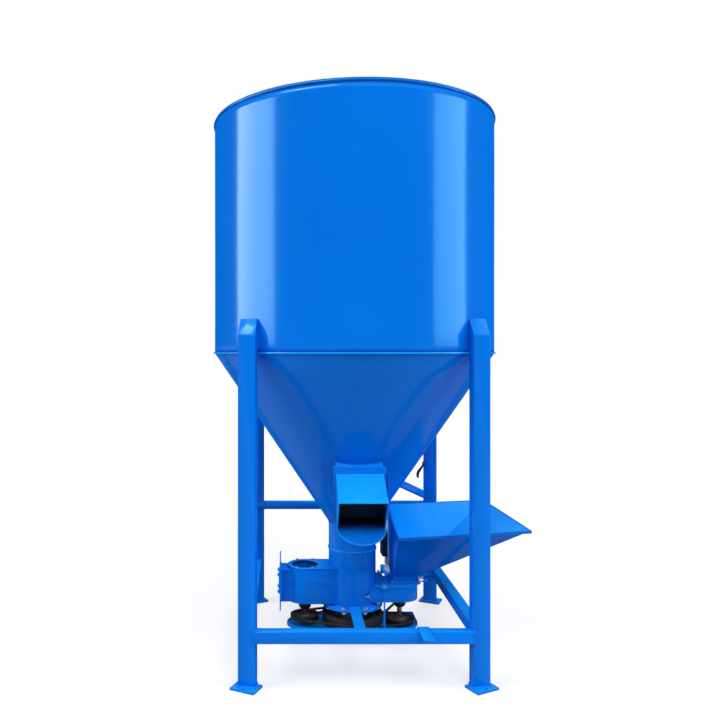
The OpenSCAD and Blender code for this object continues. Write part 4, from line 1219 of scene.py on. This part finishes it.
@dataclass
class Motor:
    """The terminal box's lid with its screws, the flange bolts and the cowl's screws."""

    shop: Workshop
    place: tuple[float, float] = (0.256, 0.330)
    flange: float = 0.072
    cowl: float = 0.078
    box_h: float = 0.084

    def build(self) -> None:
        """Makes the lid as a rounded slab on the box's outer face and sets the screws."""
        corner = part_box("terminal_box")[0]
        x, y, z = corner.x, self.place[1], corner.z + self.box_h / 2
        lid = slab(rounded(0.033, 0.041, 0.006), -0.0005, 0.0022)
        lid = lid.standing((x, y, z), (-1, 0, 0), Y_AXIS)
        self.shop.make("terminal_lid", [lid], Slot.NAVY, bevel=0.0008)
        screws = [pan_screw(0.0032).standing((x - 0.0021, y + sy * 0.027, z + sz * 0.035),
                                             (-1, 0, 0), Y_AXIS)
                  for sy in SIDES for sz in SIDES]
        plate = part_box("motor_body")[0].z + 0.010
        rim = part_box("motor_cowl")[0].z + 0.012
        foot = np.array([*self.place, 0.0])
        for a in (np.arange(4) + 0.5) * TAU / 4:
            out = np.array([math.cos(a), math.sin(a), 0.0])
            bolt = foot + self.flange * out + (0, 0, plate)
            screws.append(hex_bolt(0.008).standing(bolt, Z_AXIS, out))
            screws.append(pan_screw(0.004).standing(foot + self.cowl * out + (0, 0, rim), out,
                                                    Z_AXIS))
        self.shop.make("motor_screws", screws, Slot.ZINC, bevel=0.0003)


@dataclass
class TopGear:
    """Bolts of the lid and bridge, welds on the lid and ribs pressed into the hatch door."""

    shop: Workshop
    bolts: int = 16
    ring: float = 0.532
    bridge_y: float = 0.068
    door_rise: float = 0.008
    rib_half: float = 0.115

    def build(self) -> None:
        """Sets the bolts round the lid and on the bridge's feet."""
        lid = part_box("drum_lid")[1].z
        heads = [hex_bolt(0.006).standing((self.ring * math.cos(a), self.ring * math.sin(a), lid))
                 for a in (np.arange(self.bolts) + 0.5) * TAU / self.bolts]
        heads += [hex_bolt(0.010).standing((x, s * self.bridge_y, lid + 0.004))
                  for x in (-0.470, -0.235, 0.235, 0.470) for s in SIDES]
        self.shop.make("lid_bolts", heads, Slot.ZINC, bevel=0.0004)
        self.welds(lid)
        self.ribs()

    def welds(self, lid: float) -> None:
        """Beads round the hatch collar's foot and along the lid's seam."""
        low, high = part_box("hatch_collar")
        half = (high.x - low.x) / 2 + SKIN
        front, back, z = high.y - 2 * half + SKIN, high.y + SKIN, lid + SKIN
        welder = Welder(radius=0.0022, seed=101)
        welder.lay([(-half, front, z), (half, front, z), (half, back, z), (-half, back, z)], True)
        welder.lay([(0.0, -0.540, lid), (0.0, -0.105, lid)])
        welder.finish(self.shop, "lid_welds")

    def ribs(self) -> None:
        """Two low ribs crossed over the hatch door, round in section and tapered at their ends."""
        low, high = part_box("hatch_door")
        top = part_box("hatch_collar")[1].z + self.door_rise
        middle = (low.y + high.y) / 2 + 0.006
        share = np.linspace(-1.0, 1.0, 40)
        size = np.sqrt(np.clip(1.0 - np.abs(share) ** 8, 0.02, 1.0))
        section = circle(1.0, 12)[None] * np.stack([0.007 * size, 0.0016 * size], -1)[:, None, :]
        run, rise = self.rib_half * share, np.full(40, top)
        ribs = [sweep(np.stack([run, middle + tilt * run, rise], -1), section, Z_AXIS)
                for tilt in SIDES]
        self.shop.make("hatch_door_ribs", ribs, Slot.BLUE, Body.HATCH)


@dataclass
class LegHook:
    """A small black hook screwed to the inner side of the rear right leg."""

    shop: Workshop
    centre: tuple[float, float] = (0.39822, 0.42854)
    half: float = 0.030
    turn: float = math.radians(10.0)
    heights: tuple[float, float] = (0.575, 0.640)

    def build(self) -> None:
        """Carries a tapering flat section out from the leg's face and down, forked at its end."""
        u = np.array([math.cos(self.turn), math.sin(self.turn), 0.0])
        v = np.array([-u[1], u[0], 0.0])
        foot = np.array([*self.centre, 0.0]) - (self.half - 0.0005) * u
        low, high = self.heights
        share = np.linspace(0.0, 1.0, 24)[:, None]
        out = 0.004 + 0.026 * np.sin(share * 1.9) ** 2
        size = 0.0032 + 0.0028 * np.sin(share * math.pi * 0.9)
        section = rounded(1.0, 0.8, 0.4, 3)[None] * size[:, None, :]
        path = foot - out * u + (0, 0, 1) * (high - (high - low) * share)
        parts = [sweep(path + v * (lean * share ** 2), section, u) for lean in (-0.006, 0.006)]
        plate = slab(rounded(0.010, 0.014, 0.004), -0.0005, 0.003)
        parts.append(plate.standing(foot + (0, 0, high - 0.004), -u, Z_AXIS))
        screw = foot - 0.003 * u + (0, 0, high + 0.004)
        parts.append(pan_screw(0.0045).standing(screw, -u, Z_AXIS))
        self.shop.make("leg_hook", parts, Slot.IRON, bevel=0.0005)


# Stage


@dataclass
class Studio:
    """Camera, lamps, world and floor."""

    floor_finish: bpy.types.Material
    focal_px: float = 725.0
    frame_px: int = 720
    centre_px: tuple[float, float] = (285.0, 353.0)
    place: tuple[float, float, float] = (-0.27, -2.915, 1.147)
    sensor_mm: float = 36.0
    fill: float = 0.28
    dim: float = 0.06
    half_floor: float = 30.0

    def add(self, name: str, data: bpy.types.ID) -> bpy.types.Object:
        """Puts an object into the scene."""
        made = bpy.data.objects.new(name, data)
        bpy.context.scene.collection.objects.link(made)
        return made

    def camera(self) -> None:
        """A level camera along +Y; its shift puts the principal point where the photo has it."""
        data = bpy.data.cameras.new("camera")
        data.sensor_width = self.sensor_mm
        data.lens = self.focal_px * self.sensor_mm / self.frame_px
        half = self.frame_px / 2
        data.shift_x = (half - self.centre_px[0]) / self.frame_px
        data.shift_y = (self.centre_px[1] - half) / self.frame_px
        camera = self.add("camera", data)
        camera.location = self.place
        camera.rotation_euler = Euler((math.radians(90.0), 0.0, 0.0))
        bpy.context.scene.camera = camera

    def softbox(self, name: str, place: Vector, turn: Vector, size: Vector, radiance: float,
                colour: Colour) -> None:
        """An area lamp, seen only in reflections; its power is radiance times pi times its area."""
        data = bpy.data.lights.new(name, "AREA")
        data.shape = "RECTANGLE"
        data.size, data.size_y = size
        data.energy = radiance * math.pi * size[0] * size[1]
        data.color = colour
        lamp = self.add(name, data)
        lamp.location = place
        lamp.rotation_euler = Euler([math.radians(t) for t in turn])
        lamp.visible_diffuse = False

    def sun(self, name: str, strength: float, soft: float, tilt: float, turn: float) -> None:
        """A broad sun without a highlight; its softness, tilt and turn about Z are in degrees."""
        data = bpy.data.lights.new(name, "SUN")
        data.energy = strength
        data.angle = math.radians(soft)
        lamp = self.add(name, data)
        lamp.rotation_euler = Euler((math.radians(tilt), 0.0, math.radians(turn)))
        lamp.visible_glossy = False

    def lamps(self) -> None:
        """Two tall softboxes, seen as bands on the drum, one high up, and suns from four sides."""
        boxes = (
            ("left_box", (-4.5, -0.503, 2.55), (0, -90, 0), (2.6, 3.19), 10.0, (0.85, 1.0, 1.0)),
            ("right_box", (4.5, -1.515, 2.55), (0, 90, 0), (2.7, 2.75), 7.0, (0.50, 1.0, 1.0)),
            ("high_box", (-1.49, -1.5, 4.92), (-22, -15, 0), (1.8, 1.8), 14.0, (0.8, 1.0, 1.0)),
        )
        suns = (("left_key", 1.75, 35.0, 58.0, -70.0), ("right_key", 1.5, 35.0, 62.0, 70.0),
                ("front_key", 1.5, 30.0, 44.0, 15.0), ("back_fill", 0.8, 50.0, 50.0, 165.0))
        for box in boxes:
            self.softbox(*box)
        for sun in suns:
            self.sun(*sun)

    def world(self) -> None:
        """White where it is seen, a white ceiling over dim walls in reflections, a soft fill."""
        world = bpy.data.worlds.new("studio")
        world.use_nodes = True
        graph = Graph(world.node_tree)
        path = graph.add("ShaderNodeLightPath").outputs
        ceiling = graph.ramp(graph.along(graph.place(), "Z"), 0.55, 0.90)
        above_fill = graph.math("SUBTRACT", graph.between(ceiling, self.dim, 1.0), self.fill)
        level = graph.plus(self.fill, graph.times(path["Is Glossy Ray"], above_fill))
        seen = graph.larger(path["Is Camera Ray"], path["Is Transmission Ray"])
        shade = graph.add("ShaderNodeBackground",
                          {"Color": WHITE, "Strength": graph.larger(level, seen)})
        graph.add("ShaderNodeOutputWorld", {"Surface": shade.outputs[0]})
        bpy.context.scene.world = world

    def floor(self) -> None:
        """A wide pale floor, flat shaded."""
        half = self.half_floor
        mesh = slab([(-half, -half), (half, -half), (half, half), (-half, half)], -0.02, 0.0)
        mesh = mesh.mesh("floor", smooth=False)
        mesh.materials.append(self.floor_finish)
        floor = self.add("floor", mesh)

    def build(self) -> None:
        """Sets the stage and the plain view transform."""
        self.camera()
        self.lamps()
        self.world()
        self.floor()
        bpy.context.scene.view_settings.view_transform = "Standard"


def main() -> None:
    """Builds the stage and every sub-assembly in order."""
    logging.basicConfig(level=logging.INFO, format="%(name)s: %(message)s")
    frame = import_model()
    shop = Workshop(frame)
    Studio(shop.floor).build()
    shop.dress_nodes({"drum_shell": 0.0, "hatch_door": 0.0012, "legs": 0.0012, "beams": 0.0015})
    for part in (Drum, Cone, Spout, Legs, Housings, Hopper, Drive, Motor, TopGear, LegHook):
        part(shop).build()


if __name__ == "__main__":
    main()
